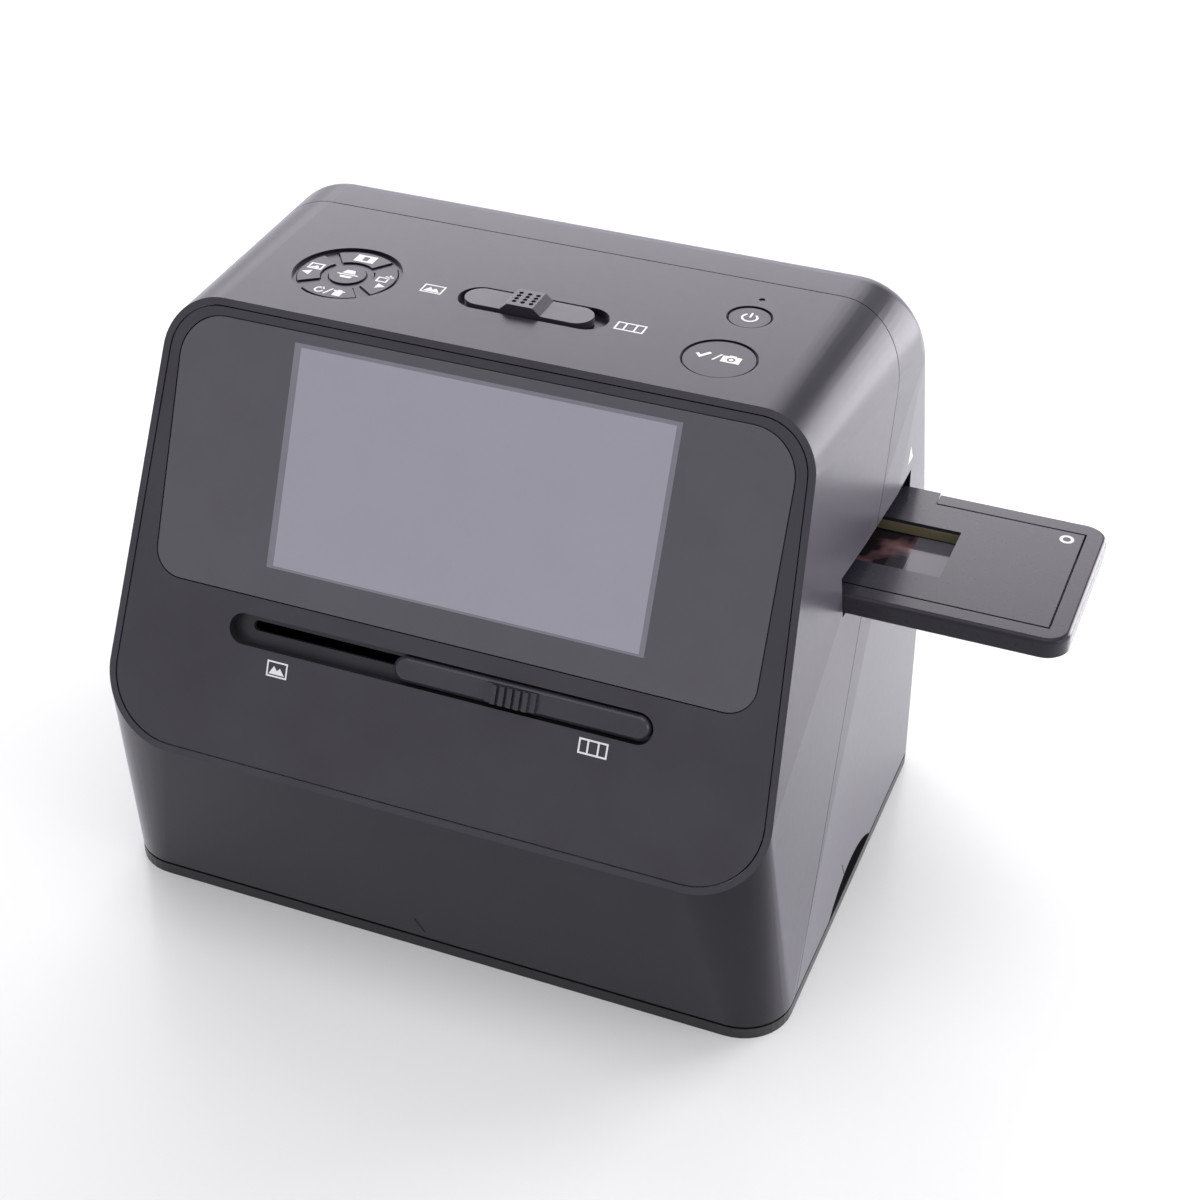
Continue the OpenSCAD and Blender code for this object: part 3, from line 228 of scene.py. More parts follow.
SHELL = (0.0090, 0.0081, 0.0118)
MAT = {
    "shell": plastic("shell_plastic", SHELL, 0.34, coat=1.0, coat_rough=0.28, ior=1.24, edge=0.0, haze=0.45),
    "panel": plastic("panel_plastic", (0.0322, 0.0306, 0.0392), 0.30),
    "trim": plastic("trim_plastic", (0.013, 0.0125, 0.014), 0.30),
    "button": plastic("button_plastic", SHELL, 0.34, coat=1.0, coat_rough=0.28, ior=1.24, edge=0.0, haze=0.45),
    "switch": plastic("switch_plastic", (0.030, 0.028, 0.034), 0.34, coat=1.0, coat_rough=0.28, ior=1.3, edge=0.2,
                      haze=0.4),
    "holder": plastic("holder_plastic", (0.021, 0.0194, 0.0262), 0.28, 0.01, 0.06, strength=0.0, coat=1.0,
                      coat_rough=0.16, ior=1.42, edge=0.3, haze=0.1),
    # painted shade: a darker copy of the panel plastic for the floor of the slider's recess
    "recess": plastic("recess_shade_plastic", (0.018, 0.017, 0.022), 0.36),
    "screen": pane("screen_margin", (0.0505, 0.0480, 0.0600), 0.05),
    "view": pane("screen_view", (0.298, 0.290, 0.340), 0.08, smears=0.012),
    "view_edge": pane("screen_view_edge", (0.160, 0.156, 0.186), 0.07),
    "display": pane("display_face", (0.2, 0.2, 0.24), 0.2),
    "glass": pane("clear_pane", (0.85, 0.9, 0.9), 0.02, 0.9, 0.0),
    "steel": metal("ground_steel", (0.62, 0.62, 0.63), 0.28),
    "bracket": metal("sheet_aluminium", (0.72, 0.72, 0.73), 0.38, (40, 1, 1)),
    "board": board_material("solder_resist"),
    "ribbon": plastic("flat_cable", (0.55, 0.50, 0.40), 0.45, grain=3000),
    "white": plastic("white_plastic", (0.62, 0.62, 0.60), 0.5, tint=0.04),
    "opal": plastic("opal_plastic", (0.78, 0.78, 0.76), 0.35, tint=0.03),
    "lamp": plastic("smoked_lamp", (0.05, 0.048, 0.052), 0.25, tint=0.05),
    "film": plastic("film_rebate", (0.016, 0.013, 0.014), 0.10, tint=0.3, level=0.3),
    "picture": picture("film_picture", (0.014, 0.011, 0.014), (0.16, 0.085, 0.085)),
    "leader": plastic("film_leader", (0.105, 0.102, 0.115), 0.10, tint=0.06, level=0.3),
    "strip": plastic("window_liner", (0.17, 0.15, 0.085), 0.35, tint=0.1),
    "mark": plastic("printed_mark", (0.80, 0.80, 0.80), 0.5, tint=0.03),
    # painted shade: near-black, low-gloss ink that stands in for the shade inside an engraved line
    "groove": plastic("groove_painted_shade", (0.006, 0.006, 0.0065), 0.6, tint=0.05, level=0.1),
}


# Mesh helpers, all in millimetres until the object is made

def make_object(name, bm, mats, body="housing", smooth=32, bevel=None, segments=2, weighted=True):
    bmesh.ops.recalc_face_normals(bm, faces=bm.faces)
    mesh = bpy.data.meshes.new(name)
    bm.to_mesh(mesh)
    bm.free()
    mesh.transform(Matrix.Scale(MM, 4))
    return finish_object(name, mesh, mats, body, smooth, bevel, segments, weighted)


def finish_object(name, mesh, mats, body, smooth, bevel, segments, weighted=True):
    obj = bpy.data.objects.new(name, mesh)
    bpy.context.collection.objects.link(obj)
    for m in mats if isinstance(mats, (list, tuple)) else [mats]:
        mesh.materials.append(MAT[m])
    dress(obj, smooth, bevel, segments, weighted)
    if body:
        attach(obj, body)
    return obj


def dress(obj, smooth=32, bevel=None, segments=2, weighted=True):
    mesh = obj.data
    if obj.name not in NODES:
        mesh.polygons.foreach_set("use_smooth", [True] * len(mesh.polygons))
        mesh.set_sharp_from_angle(angle=math.radians(smooth))
    if bevel:
        mod = obj.modifiers.new("edges", "BEVEL")
        mod.width = bevel * MM
        mod.segments = segments
        mod.limit_method = "ANGLE"
        mod.angle_limit = math.radians(smooth + 2)
        mod.use_clamp_overlap = True
        mod.harden_normals = True
    if weighted:
        mod = obj.modifiers.new("normals", "WEIGHTED_NORMAL")
        mod.keep_sharp = True


def merge(bm, extra):
    """Adds the geometry of another bmesh, which is freed."""
    mesh = bpy.data.meshes.new("extra")
    extra.to_mesh(mesh)
    extra.free()
    bm.from_mesh(mesh)
    bpy.data.meshes.remove(mesh)


def prism(loop, low, high, matrix=None):
    """Closed prism over a 2-D loop."""
    bm = bmesh.new()
    base = [bm.verts.new((x, y, low)) for x, y in loop]
    top = [bm.verts.new((x, y, high)) for x, y in loop]
    bm.faces.new(list(reversed(base)))
    bm.faces.new(top)
    n = len(loop)
    for i in range(n):
        j = (i + 1) % n
        bm.faces.new((base[i], base[j], top[j], top[i]))
    if matrix is not None:
        bmesh.ops.transform(bm, matrix=matrix, verts=bm.verts)
    bmesh.ops.recalc_face_normals(bm, faces=bm.faces)
    return bm


def arc(cx, cy, r, a0, a1, n):
    return [(cx + r * math.cos(math.radians(a0 + (a1 - a0) * i / n)),
             cy + r * math.sin(math.radians(a0 + (a1 - a0) * i / n))) for i in range(n + 1)]


def circle(cx, cy, r, n=64):
    return arc(cx, cy, r, 0, 360 - 360 / n, n - 1)


def rect(cx, cy, w, h, r=0.0, n=8):
    if r <= 0:
        x, y = w / 2, h / 2
        return [(cx - x, cy - y), (cx + x, cy - y), (cx + x, cy + y), (cx - x, cy + y)]
    loop = []
    for sx, sy, a in ((1, -1, -90), (1, 1, 0), (-1, 1, 90), (-1, -1, 180)):
        loop += arc(cx + sx * (w / 2 - r), cy + sy * (h / 2 - r), r, a, a + 90, n)
    return loop


def stadium(cx, cy, length, h, n=24):
    x = (length - h) / 2
    return arc(cx + x, cy, h / 2, -90, 90, n) + arc(cx - x, cy, h / 2, 90, 270, n)


def sector(cx, cy, r0, r1, half, margin, turn):
    """Ring sector about the direction turn, grown by margin."""
    def side(r):
        return half + math.degrees(math.asin(min(0.9, margin / r)))
    a, b = side(r1 + margin), side(r0 - margin)
    out = arc(0, 0, r1 + margin, 90 - a, 90 + a, 20) + arc(0, 0, r0 - margin, 90 + b, 90 - b, 16)
    c, s = math.cos(math.radians(turn)), math.sin(math.radians(turn))
    return [(cx + x * c - y * s, cy + x * s + y * c) for x, y in out]


FACE_TAPER = (FACE_LOW - FACE_TOP) / 2 / FACE_LEN
FACE_TILT = math.degrees(math.atan(FACE_TAPER))


def face_half(v):
    return FACE_LOW / 2 - FACE_TAPER * v


def face_corner(v, r):
    return face_half(v) - r / math.cos(math.radians(FACE_TILT)), v


LOW_C = face_corner(FACE_R_LOW, FACE_R_LOW)
TOP_C = face_corner(FACE_LEN - FACE_R_TOP, FACE_R_TOP)


def face_outline(inset, n=24):
    right = arc(*LOW_C, FACE_R_LOW - inset, -90, FACE_TILT, n) + arc(*TOP_C, FACE_R_TOP - inset, FACE_TILT, 90, n)
    return right + [(-x, y) for x, y in reversed(right)]


def side_half(z):
    return BASE_W / 2 + (REAR_W - BASE_W) / 2 * z / (BODY_H - REAR_R.z)


def envelope(inset, foot, seg=72):
    """The body's outer form, pulled in by inset, as a convex hull of its round corners."""
    pts = []
    for s in (-1, 1):
        rows = [(s * (BASE_W / 2 - FOOT_R), FRONT_Y + FOOT_R, foot, FOOT_R),
                (s * (BASE_W / 2 - BACK_R), BACK_Y - BACK_R, foot, BACK_R)]
        for bulge, z in BULGES:
            rows.append((s * (side_half(z) - BACK_R), BACK_Y + bulge - BACK_R, z, BACK_R))
        for x, y, z, r in rows:
            for zz in (z, z + 1):
                pts += [(px, py, zz) for px, py in circle(x, y, r - inset, seg)]
        c = Vector((s * (REAR_W / 2 - REAR_R.x), BACK_Y - REAR_IN - REAR_R.y, BODY_H - REAR_R.z))
        r = REAR_R - Vector((inset, inset, inset))
        for i in range(0, seg // 4 + 1):
            lat = math.pi / 2 * i / (seg // 4)
            ring = seg if i < seg // 4 else 1
            for k in range(ring):
                a = 2 * math.pi * k / ring
                turn = Vector((math.cos(a) * math.cos(lat), math.sin(a) * math.cos(lat), math.sin(lat)))
                pts.append(c + turn * r)
        for cx, cy, r in ((*LOW_C, FACE_R_LOW), (*TOP_C, FACE_R_TOP)):
            for n in (-inset, -1 - inset):
                pts += [FACE @ Vector((px, py, n)) for px, py in circle(s * cx, cy, r - inset, seg)]
    bm = bmesh.new()
    for p in pts:
        bm.verts.new(p)
    bmesh.ops.remove_doubles(bm, verts=bm.verts, dist=0.001)
    out = bmesh.ops.convex_hull(bm, input=bm.verts, use_existing_faces=False)
    drop = [e for e in out["geom_interior"] + out["geom_unused"] if isinstance(e, bmesh.types.BMVert)]
    bmesh.ops.delete(bm, geom=list(set(drop)), context="VERTS")
    bmesh.ops.dissolve_limit(bm, angle_limit=math.radians(0.05), verts=bm.verts, edges=bm.edges)
    return bm


def temp_object(bm):
    mesh = bpy.data.meshes.new("temp")
    bm.to_mesh(mesh)
    bm.free()
    obj = bpy.data.objects.new("temp", mesh)
    bpy.context.collection.objects.link(obj)
    return obj


def cut(base, bms, operation="DIFFERENCE"):
    """Applies exact booleans with each bmesh to the object base."""
    for bm in bms:
        tool = temp_object(bm)
        mod = base.modifiers.new("cut", "BOOLEAN")
        mod.operation = operation
        mod.solver = "EXACT"
        mod.object = tool
        graph = bpy.context.evaluated_depsgraph_get()
        mesh = bpy.data.meshes.new_from_object(base.evaluated_get(graph))
        base.modifiers.remove(mod)
        old = base.data
        base.data = mesh
        bpy.data.meshes.remove(old)
        tool_mesh = tool.data
        bpy.data.objects.remove(tool)
        bpy.data.meshes.remove(tool_mesh)
    return base


def seam_box(side):
    big = 400
    start = -big - SEAM_GAP / 2 if side < 0 else SEAM_GAP / 2
    loop = [(-big / 2, start), (big / 2, start), (big / 2, start + big), (-big / 2, start + big)]
    m = Matrix.Translation((0, SEAM_Y, 0)) @ Matrix.Rotation(-SEAM_LEAN, 4, "X")
    return prism(loop, -200, 500, m)


def slot_box():
    return prism(rect(0, FILM_Y, 400, SLOT_W), SLOT_Z, SLOT_Z + SLOT_H)


def boss(x, y, wall_y, rise):
    """Screw boss with its rib, as loose geometry inside the shell."""
    low, high = PLATE_TOP + 0.5, PLATE_TOP + BOSS_H - 0.5
    post = prism(circle(x, y, BOSS_R, 40), PLATE_TOP, PLATE_TOP + BOSS_H)
    rib = [(y, low), (wall_y + rise * low, low), (wall_y + rise * high, high), (y, high)]
    return [post, prism(rib, 0, 2, Matrix.Translation((x - 1, 0, 0)) @ ALONG_X)]


def cleaned(base):
    """Takes the mesh out of a cut temporary object, without the slivers that cutting leaves."""
    bm = bmesh.new()
    mesh = base.data
    bpy.data.objects.remove(base)
    bm.from_mesh(mesh)
    bpy.data.meshes.remove(mesh)
    bmesh.ops.remove_doubles(bm, verts=bm.verts, dist=0.002)
    bmesh.ops.dissolve_degenerate(bm, dist=0.002, edges=bm.edges)
    bmesh.ops.dissolve_limit(bm, angle_limit=math.radians(0.1), verts=bm.verts, edges=bm.edges)
    return bm


def shell(name, side, adds, cuts, loose):
    """One half of the body; its lip around the panel has the panel's finish."""
    base = temp_object(envelope(0, SHELL_Z))
    cut(base, [seam_box(side)], "INTERSECT")
    cut(base, [envelope(WALL, -RING_H, 40)])
    cut(base, adds, "UNION")
    cut(base, cuts)
    bm = cleaned(base)
    for extra in loose:
        merge(bm, extra)
    bm.normal_update()
    out = FACE.to_3x3() @ Vector((0, 0, 1))
    for f in bm.faces:
        if f.normal.dot(out) > 0.999 and abs((f.calc_center_median() - FACE.translation).dot(out)) < 0.1:
            f.material_index = 1
    obj = make_object(name, bm, ["shell", "panel"], "housing", smooth=28, bevel=0.45, segments=3)
    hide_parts(name.replace("_visual", ""))
    return obj


def top_prism(loop, low, high):
    return prism(loop, low, high, TOP)


def front_shell():
    deep = 6.0
    cuts = [prism(face_outline(2), -WALL, 3, FACE), prism(face_outline(5), -8, 0, FACE),
            top_prism(circle(*PAD, PAD_R), -PAD_DEPTH, deep), top_prism(circle(*PAD, PAD_MID_R), -deep, deep)]
    cuts += [top_prism(sector(*PAD, KEY_IN, KEY_OUT, KEY_HALF, KEY_GAP, a), -deep, deep) for a in (0, 90, 180, 270)]
    cuts += [top_prism(circle(*CAPTURE, CAPTURE_R), -deep, deep), top_prism(circle(*POWER, POWER_R), -deep, deep),
             top_prism(circle(*LAMP, LAMP_R, 24), -deep, deep),
             top_prism(stadium(*SWITCH, SWITCH_LEN, SWITCH_H), -SWITCH_DEPTH, deep),
             top_prism(rect(*SWITCH, *STEM_SLOT), -deep, deep), slot_box()]
    adds = [prism(face_outline(1.3), -4.6, -2.6, FACE),
            top_prism(stadium(*SWITCH, SWITCH_LEN + SWITCH_RIM, SWITCH_H + SWITCH_RIM), -3.8, -1.3)]
    loose = []
    for s in (-1, 1):
        loose += boss(s * BOSS_X, FRONT_BOSS_Y, FRONT_Y + WALL / 2, (KNEE_Y - FRONT_Y) / KNEE_Z)
    return shell("front_shell_visual", -1, adds, cuts, loose)


def rear_shell():
    notch_r = (NOTCH_HALF ** 2 + NOTCH_RISE ** 2) / 2 / NOTCH_RISE
    cuts = [slot_box(), prism(circle(NOTCH_Y, NOTCH_TOP - notch_r, notch_r, 160), 52, 262, ALONG_X)]
    cuts += [prism(rect(x, BACK_Y, w, SOCKET_CUT), SOCKET_Z - half, SOCKET_Z + half) for x, w, half in (USB, CARD)]
    bulge, bulge_z = BULGES[0]
    loose = []
    for s in (-1, 1):
        loose += boss(s * BOSS_X, REAR_BOSS_Y, BACK_Y - WALL / 2, bulge / bulge_z)
    return shell("rear_shell_visual", 1, [], cuts, loose)


front_visual, rear_visual = front_shell(), rear_shell()


# CAD nodes that keep their shape: finish and softened edges

def keep(mat, *names, bevel=None, segments=2, smooth=32):
    for n in names:
        obj = NODES[n]
        obj.data.materials.clear()
        obj.data.materials.append(MAT[mat])
        dress(obj, smooth, bevel, segments, bool(bevel))


keep("trim", "base_ring", bevel=0.6, segments=3)
keep("trim", "bottom_plate", "tower_posts", "film_tray", "film_cover", "slider_arm", "lens_carriage", "focus_slide",
     "tact_switches", bevel=0.15)
keep("trim", "lens_barrel")
keep("panel", "front_panel", bevel=0.5, segments=3)
keep("panel", "front_slider", bevel=0.2)
keep("switch", "mode_switch", bevel=0.25, segments=2)
keep("button", "power_button", "capture_button", "nav_up", "nav_down", "nav_left", "nav_right", "nav_centre",
     bevel=0.5, segments=3)
keep("holder", "holder_lid", bevel=0.15, segments=2)
keep("glass", "photo_glass", "lens_elements")
keep("steel", "case_screws", "guide_rods", "focus_pins", "holder_pins", "usb_socket", "card_socket")
keep("bracket", "display_bracket", "rod_brackets", "camera_bracket", bevel=0.2)
keep("board", "keypad_board", "camera_board", "main_board", "backlight_board", "photo_lamps")
keep("ribbon", "display_ribbon", "keypad_ribbon", "camera_ribbon")
keep("white", "backlight_carriage", bevel=0.3)
keep("opal", "backlight_diffuser")
keep("lamp", "power_lamp")
keep("display", "display_module")


def shade_recess():
    """The slider's recess in the panel, with painted shade: a darker floor, and walls in the trim's darker finish."""
    mesh = NODES["front_panel"].data
    mesh.materials.append(MAT["recess"])
    mesh.materials.append(MAT["trim"])
    to_face = FACE.inverted() @ NODES["front_panel"].matrix_world
    for poly in mesh.polygons:
        x, v, n = to_face @ (poly.center / MM)
        if abs(x) < RECESS_HALF and RECESS_LOW < v < RECESS_HIGH and -RECESS_D < n < -0.3:
            out = (to_face.to_3x3() @ poly.normal).z
            # painted shade: floor faces get the darker recess plastic, wall faces the darker trim
            poly.material_index = 1 if abs(out) > 0.9 else 2


shade_recess()


# Screen pane: dark printed margin, and the display seen through its clear middle

def screen():
    bm = bmesh.new()
    low, high = -1.4, -0.2
    right = arc(81, 59, 8, -90, 0, 12) + arc(76, 113, 13, 0, 90, 16)
    outer = right + [(-x, y) for x, y in reversed(right)]
    rings = [rect(1.5, 91.5, 112, 63), rect(1.75, 91.3, 108.5, 61.2)]
    verts = [bm.verts.new((x, y, high)) for x, y in outer]
    loops = [[bm.verts.new((x, y, high)) for x, y in r] for r in rings]
    base = [bm.verts.new((x, y, low)) for x, y in outer]
    n = len(outer)
    for i in range(n):
        j = (i + 1) % n
        bm.faces.new((base[i], base[j], verts[j], verts[i]))
    bm.faces.new(list(reversed(base)))
    edges = [bm.edges.get((a, b)) or bm.edges.new((a, b)) for ring in (verts, loops[0])
             for a, b in zip(ring, ring[1:] + ring[:1])]
    bmesh.ops.triangle_fill(bm, edges=edges, use_beauty=True, use_dissolve=False)
    for i in range(4):
        j = (i + 1) % 4
        f = bm.faces.new((loops[0][i], loops[0][j], loops[1][j], loops[1][i]))
        f.material_index = 1
    bm.faces.new(loops[1]).material_index = 2
    bmesh.ops.transform(bm, matrix=FACE, verts=bm.verts)
    obj = make_object("screen_pane", bm, ["screen", "view_edge", "view"], "housing", bevel=0.25, segments=2)
    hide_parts("screen_glass")


screen()


# Printed marks, as thin raised ink; the ticks' near-black ink is painted shade of engraved lines

def mark(name, loops, matrix, body, mat="mark", height=0.04):
    bm = bmesh.new()
    for loop in loops:
        merge(bm, prism(loop, -0.02, height))
    bmesh.ops.transform(bm, matrix=matrix, verts=bm.verts)
    return make_object(name, bm, mat, body, weighted=False)


def band(cx, cy, r, width, a0, a1, n=28):
    """Open ring from angle a0 to a1."""
    return arc(cx, cy, r + width / 2, a0, a1, n) + arc(cx, cy, r - width / 2, a1, a0, n)


def hoop(cx, cy, r, width):
    """Closed ring, as two half bands."""
    return [band(cx, cy, r, width, 0, 180), band(cx, cy, r, width, 180, 360)]


def box_frame(cx, cy, w, h, t):
    return [rect(cx, cy - h / 2 + t / 2, w, t), rect(cx, cy + h / 2 - t / 2, w, t),
            rect(cx - w / 2 + t / 2, cy, t, h - 2 * t), rect(cx + w / 2 - t / 2, cy, t, h - 2 * t)]


def triangle(cx, cy, size, turn):
    c, s = math.cos(math.radians(turn)), math.sin(math.radians(turn))
    return [(cx + x * c - y * s, cy + x * s + y * c)
            for x, y in ((size * 0.6, 0), (-size * 0.4, size * 0.55), (-size * 0.4, -size * 0.55))]


def at_top(x, y, z=0.0):
    return Matrix.Translation((x, y, BODY_H + z))


mark("power_symbol", [band(0, 0, 2.1, 0.6, 125, 415), rect(0, 1.5, 0.6, 2.6)], at_top(*POWER, CAP_Z), "power")
tick_icon = [[(-6.9, 0.9), (-6.2, 1.5), (-5.4, 0.5), (-3.6, 2.9), (-2.8, 2.3), (-5.3, -0.9)]]
slash_icon = [[(-2.0, -0.9), (-1.4, -0.9), (0.2, 2.7), (-0.4, 2.7)]]
camera_icon = [[(3.0, 2.4), (0.4, 2.4), (0.4, -0.95), (3.0, -0.95)] + arc(3.0, 0.72, 1.15, 270, 90, 16),
               [(3.0, -0.95), (5.6, -0.95), (5.6, 2.4), (3.0, 2.4)] + arc(3.0, 0.72, 1.15, 90, -90, 16),
               rect(3.0, 2.65, 2.0, 0.5), circle(3.0, 0.72, 0.65, 24)]
mark("capture_symbol", tick_icon + slash_icon + camera_icon, at_top(*CAPTURE, CAP_Z), "capture")
up = at_top(PAD[0] + 0.4, PAD[1] + 10.6, NAV_Z)
mark("play_symbol", box_frame(0, 0, 6.0, 4.0, 0.8) + [rect(-1.5, 0, 1.5, 2.5), rect(1.6, 0, 1.3, 2.5)],
     up, "nav_up_key")
mark("bin_symbol", [band(-3.2, 0.1, 1.25, 0.55, 60, 350), triangle(-2.5, 1.2, 1.3, 330),
                    [(-1.4, -1.7), (-0.9, -1.7), (0.5, 1.8), (0.0, 1.8)],
                    rect(2.6, -0.5, 2.4, 2.4), rect(2.6, 1.05, 3.4, 0.5), rect(2.6, 1.55, 1.2, 0.5)],
     at_top(PAD[0], PAD[1] - 11.0, NAV_Z), "nav_down_key")
mark("left_symbol", [triangle(-0.6, -2.6, 2.6, 180)] + box_frame(0.3, 1.4, 4.4, 3.4, 0.55)
     + [[(-1.2, 0.4), (1.8, 0.4), (0.6, 1.9)]], at_top(PAD[0] - 10.8, PAD[1], NAV_Z), "nav_left_key")
mark("right_symbol", [triangle(0.6, -2.8, 2.6, 0)] + box_frame(-0.4, 0.9, 3.4, 2.8, 0.5)
     + [rect(0.9, 2.9, 2.6, 0.5), rect(0.9, 2.9, 0.5, 2.2)], at_top(PAD[0] + 10.8, PAD[1], NAV_Z), "nav_right_key")
mark("middle_symbol", [rect(0, 0, 6.4, 0.5), [(-2.0, 0.7), (2.0, 0.7), (1.2, 2.7), (-1.2, 2.7)]]
     + [[(-2.0, -0.8), (2.0, -0.8), (1.5, -1.9), (-1.5, -1.9)]], at_top(*PAD, NAV_Z), "nav_mid_key")


def print_icon(cx, cy, s=1.0):
    """A plain picture frame with a hill line."""
    return box_frame(cx, cy, 6.4 * s, 4.6 * s, 0.45) + [
        [(cx - 2.4 * s, cy - 1.5 * s), (cx + 2.4 * s, cy - 1.5 * s), (cx + 0.9 * s, cy + 0.5 * s), (cx, cy - 0.4 * s),
         (cx - 1.0 * s, cy + 0.9 * s)]]


def film_icon(cx, cy, s=1.0):
    """A strip of film with its frame lines."""
    return box_frame(cx, cy, 8.4 * s, 4.4 * s, 0.5) + [rect(cx + i * 1.5 * s, cy, 0.5, 3.4 * s) for i in (-1, 1)]


PANEL_FACE = FACE @ Matrix.Translation((0, 0, PRINT_Z))
mark("print_end_symbol", print_icon(-47.2, 31.8), PANEL_FACE, "housing")
mark("film_end_symbol", film_icon(47.8, 32.6), PANEL_FACE, "housing")
mark("print_mode_symbol", print_icon(-27.0, SWITCH[1] - 0.4), TOP, "housing")
mark("film_mode_symbol", film_icon(31.4, SWITCH[1] - 0.4), TOP, "housing")
holder_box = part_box("holder_base")
HOLDER_TOP = holder_box[1][2] / MM
mark("holder_ring", hoop(149.9, FILM_Y + 19.8, 1.6, 0.9), Matrix.Translation((0, 0, HOLDER_TOP)), "holder")


def on_surface(obj, start, towards):
    """Frame on an object's surface in millimetres: z out of it, y as far up as it can be."""
    graph = bpy.context.evaluated_depsgraph_get()
    hit, place, normal, _ = obj.evaluated_get(graph).ray_cast(Vector(start) * MM, Vector(towards))
    if not hit:
        raise RuntimeError("no surface under the mark")
    side = Vector((0, 0, 1)).cross(normal).normalized()
    axes = Matrix((side, normal.cross(side), normal)).transposed().to_4x4()
    return Matrix.Translation(place / MM) @ axes


mark("slot_arrow", [[(-2.6, -2.2), (2.6, -2.2), (0.0, 2.6)]],
     on_surface(rear_visual, (130, 108.2, 130.5), (-1, 0, 0)), "housing")
# The two ticks are flat near-black strips: painted shade for engraved lines
mark("front_tick", [[(-1.6, 2.7), (-1.1, 2.7), (1.6, -2.7), (1.1, -2.7)]],
     on_surface(front_visual, (-4.1, -40, 9.4), (0, 1, 0)), "housing", "groove", 0.02)
mark("side_tick", [[(-1.7, 2.9), (-1.2, 2.9), (1.7, -2.9), (1.2, -2.9)]],
     on_surface(rear_visual, (130, 59.0, 14.2), (-1, 0, 0)), "housing", "groove", 0.02)


# The film holder's base with its rounded rim, and a pale liner on the back wall of its last window

def holder_base():
    low, high = [[v / MM for v in c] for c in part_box("holder_base")]
    mid, length, width = (low[0] + high[0]) / 2, high[0] - low[0], high[1] - low[1]
    r, corner_r = 1.4, 7
    steps = [math.radians(a) for a in (0, 22.5, 45, 67.5, 90)]
    rings = [(0.5, low[2]), (0.0, low[2] + 0.5)]
    rings += [(r * (1 - math.cos(a)), high[2] - r + r * math.sin(a)) for a in steps]
    bm = bmesh.new()
    rows = [[bm.verts.new((x, y, z)) for x, y in rect(mid, FILM_Y, length - 2 * i, width - 2 * i, corner_r - i, 12)]
            for i, z in rings]
    n = len(rows[0])
    for a, b in zip(rows, rows[1:]):
        for k in range(n):
            bm.faces.new((a[k], a[(k + 1) % n], b[(k + 1) % n], b[k]))
    bm.faces.new(rows[0][::-1])
    bm.faces.new(rows[-1])
    lid_z, lid_w = high[2] - 4.4, width - 12
    tools = [prism(rect(mid, FILM_Y, length - 11.5, lid_w + 0.5), lid_z, 200),
             prism(rect(mid, FILM_Y, length - 24, 35.6), lid_z - 0.3, 200)]
    for s in (-1, 1):
        tab = mid + s * (length / 2 - 59.2)
        tools.append(prism(rect(tab, FILM_Y + 26.3, 20.7, 8.1), lid_z, 200))
        tools.append(prism(circle(FILM_Y + 27, lid_z + 2.2, 0.65, 24), tab - 14, tab + 14, ALONG_X))
    tools += [prism(rect(x, FILM_Y, FRAME_W + 1, FRAME_H + 1), 0, 200) for x in FRAMES]
    obj = make_object("holder_base_visual", cleaned(cut(temp_object(bm), tools)), "holder", "holder")
    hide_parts("holder_base")
    liner = prism(rect(FRAMES[0], FILM_Y + 11.92, 35.6, 0.12), lid_z + 0.3, lid_z + 3.3)
    make_object("window_liner", liner, "strip", "holder", bevel=0.04)


holder_base()


# The film in the holder: dark edges, toned frames and a clear end

def film():
    low, high = [[v / MM for v in c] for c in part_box("film_strip")]
    half = FRAME_W / 2
    xs = sorted({low[0], high[0], *(x for mid in FRAMES for x in (mid - half, mid + half)), CLEAR_X})
    ys = [low[1], FILM_Y - FRAME_H / 2, FILM_Y + FRAME_H / 2, high[1]]
    bm = bmesh.new()
    rows = {(i, j, z): bm.verts.new((x, y, z))
            for i, x in enumerate(xs) for j, y in enumerate(ys) for z in (low[2], high[2])}
    for i in range(len(xs) - 1):
        for j in range(3):
            cells = [(i, j), (i + 1, j), (i + 1, j + 1), (i, j + 1)]
            mid = (xs[i] + xs[i + 1]) / 2
            framed = any(abs(mid - c) < half for c in FRAMES) and j == 1
            for z, order in ((high[2], cells), (low[2], cells[::-1])):
                f = bm.faces.new([rows[(*c, z)] for c in order])
                f.material_index = (2 if mid > CLEAR_X else 1) if framed else 0
    rim = [(i, 0) for i in range(len(xs))] + [(len(xs) - 1, j) for j in (1, 2, 3)]
    rim += [(i, 3) for i in range(len(xs) - 2, -1, -1)] + [(0, 2), (0, 1)]
    for a, b in zip(rim, rim[1:] + rim[:1]):
        bm.faces.new([rows[(*a, low[2])], rows[(*b, low[2])], rows[(*b, high[2])], rows[(*a, high[2])]])
    obj = make_object("film_visual", bm, ["film", "picture", "leader"], "holder", weighted=False)
    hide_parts("film_strip")


film()


# Camera

def camera():
    cam = bpy.data.cameras.new("photo_camera")
    cam.sensor_width = 36.0
    cam.sensor_fit = "HORIZONTAL"
    focal_px, image_px = 2199.05, 1200
    cam.lens = focal_px / image_px * cam.sensor_width
    cam.clip_start = 0.01
    obj = bpy.data.objects.new("photo_camera", cam)
    bpy.context.collection.objects.link(obj)
    right = Vector((0.92875686, 0.37061691, 0.00733511))
    up_dir = Vector((-0.21897338, 0.53256077, 0.81757549))
    back = Vector((0.29910091, -0.76093504, 0.57577471))
    rot = Matrix((right, up_dir, back)).transposed().to_4x4()
    obj.matrix_world = Matrix.Translation(Vector((216.1, -424.5, 457.3)) * MM) @ rot
    bpy.context.scene.camera = obj


camera()


# Floor, surroundings and light

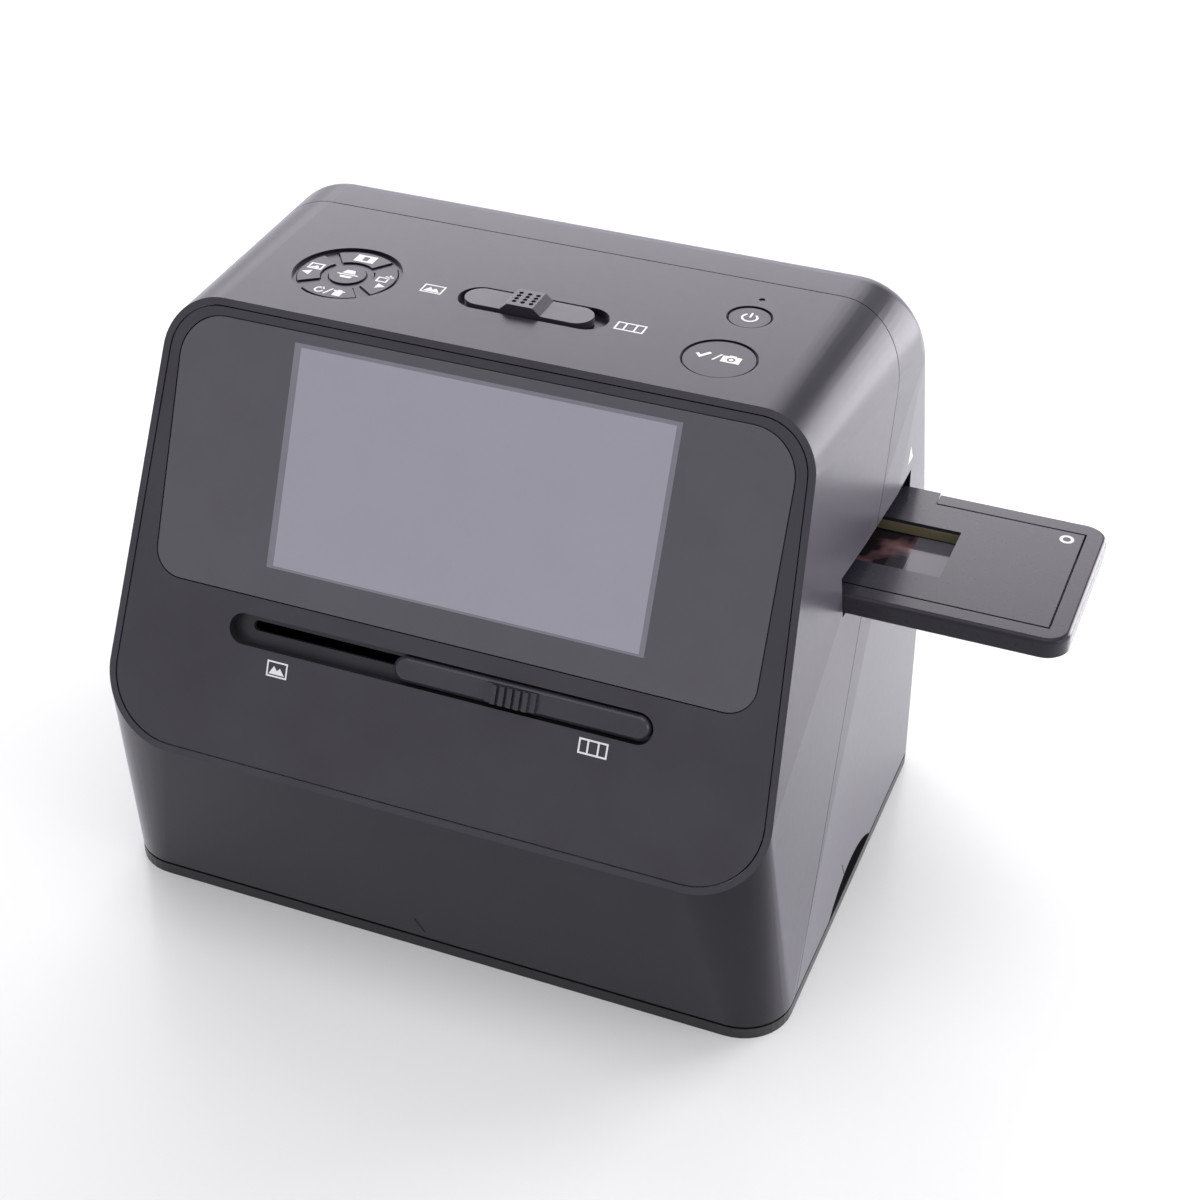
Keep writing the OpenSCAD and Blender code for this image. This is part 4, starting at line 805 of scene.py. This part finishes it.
def floor():
    bm = bmesh.new()
    bmesh.ops.create_grid(bm, x_segments=2, y_segments=2, size=6.0)
    mesh = bpy.data.meshes.new("floor")
    bm.to_mesh(mesh)
    bm.free()
    obj = bpy.data.objects.new("floor", mesh)
    bpy.context.collection.objects.link(obj)
    mat, tree, bsdf = new_material("floor_paper")
    noise = mapped(tree, 3, 2)
    tree.links.new(ramp(tree, noise.outputs["Fac"], (0.830, 0.845, 0.815), (0.845, 0.860, 0.830)).outputs["Color"],
                   bsdf.inputs["Base Color"])
    tree.links.new(to_range(tree, noise.outputs["Fac"], 0.16, 0.22).outputs["Result"], bsdf.inputs["Roughness"])
    bsdf.inputs["Specular IOR Level"].default_value = 0.4
    mesh.materials.append(mat)


floor()


def world():
    w = bpy.data.worlds.new("studio")
    bpy.context.scene.world = w
    w.use_nodes = True
    tree = w.node_tree
    tree.nodes.clear()
    out = tree.nodes.new("ShaderNodeOutputWorld")
    coord = tree.nodes.new("ShaderNodeTexCoord")
    split = tree.nodes.new("ShaderNodeSeparateXYZ")
    tree.links.new(coord.outputs["Generated"], split.inputs["Vector"])
    shade = tree.nodes.new("ShaderNodeMapRange")
    shade.inputs["From Min"].default_value = 0.1
    shade.inputs["From Max"].default_value = 0.9
    shade.inputs["To Min"].default_value = 0.80
    shade.inputs["To Max"].default_value = 0.55
    tree.links.new(split.outputs["Z"], shade.inputs["Value"])
    room = tree.nodes.new("ShaderNodeBackground")
    room.inputs["Color"].default_value = (0.970, 0.945, 1.0, 1)
    tree.links.new(shade.outputs["Result"], room.inputs["Strength"])
    white = tree.nodes.new("ShaderNodeBackground")
    white.inputs["Color"].default_value = (0.985, 0.985, 0.985, 1)
    path = tree.nodes.new("ShaderNodeLightPath")
    mix = tree.nodes.new("ShaderNodeMixShader")
    tree.links.new(path.outputs["Is Camera Ray"], mix.inputs["Fac"])
    tree.links.new(room.outputs["Background"], mix.inputs[1])
    tree.links.new(white.outputs["Background"], mix.inputs[2])
    tree.links.new(mix.outputs["Shader"], out.inputs["Surface"])


world()


def softbox(name, place, target, size, watts, colour=(1, 1, 1)):
    light = bpy.data.lights.new(name, "AREA")
    light.shape = "RECTANGLE"
    light.size, light.size_y = size
    light.energy = watts
    light.color = colour
    obj = bpy.data.objects.new(name, light)
    bpy.context.collection.objects.link(obj)
    obj.location = place
    obj.rotation_euler = (Vector(target) - Vector(place)).to_track_quat("-Z", "Y").to_euler()


TINT = (0.970, 0.945, 1.0)
softbox("back_box", (-1.05, 1.9, 1.28), (0, 0.1, 0.2), (2.6, 1.1), 28, TINT)
softbox("top_box", (0.1, -0.45, 2.2), (0.1, -0.45, 0), (2.2, 2.2), 23, TINT)
softbox("right_box", (1.8, -0.1, 0.7), (0.15, 0.1, 0), (1.4, 1.0), 9.5, TINT)
softbox("side_strip", (0.62, 0.75, 0.28), (0.09, 0.06, 0.14), (0.5, 0.5), 6.5, TINT)

scene = bpy.context.scene
scene.view_settings.view_transform = "Standard"
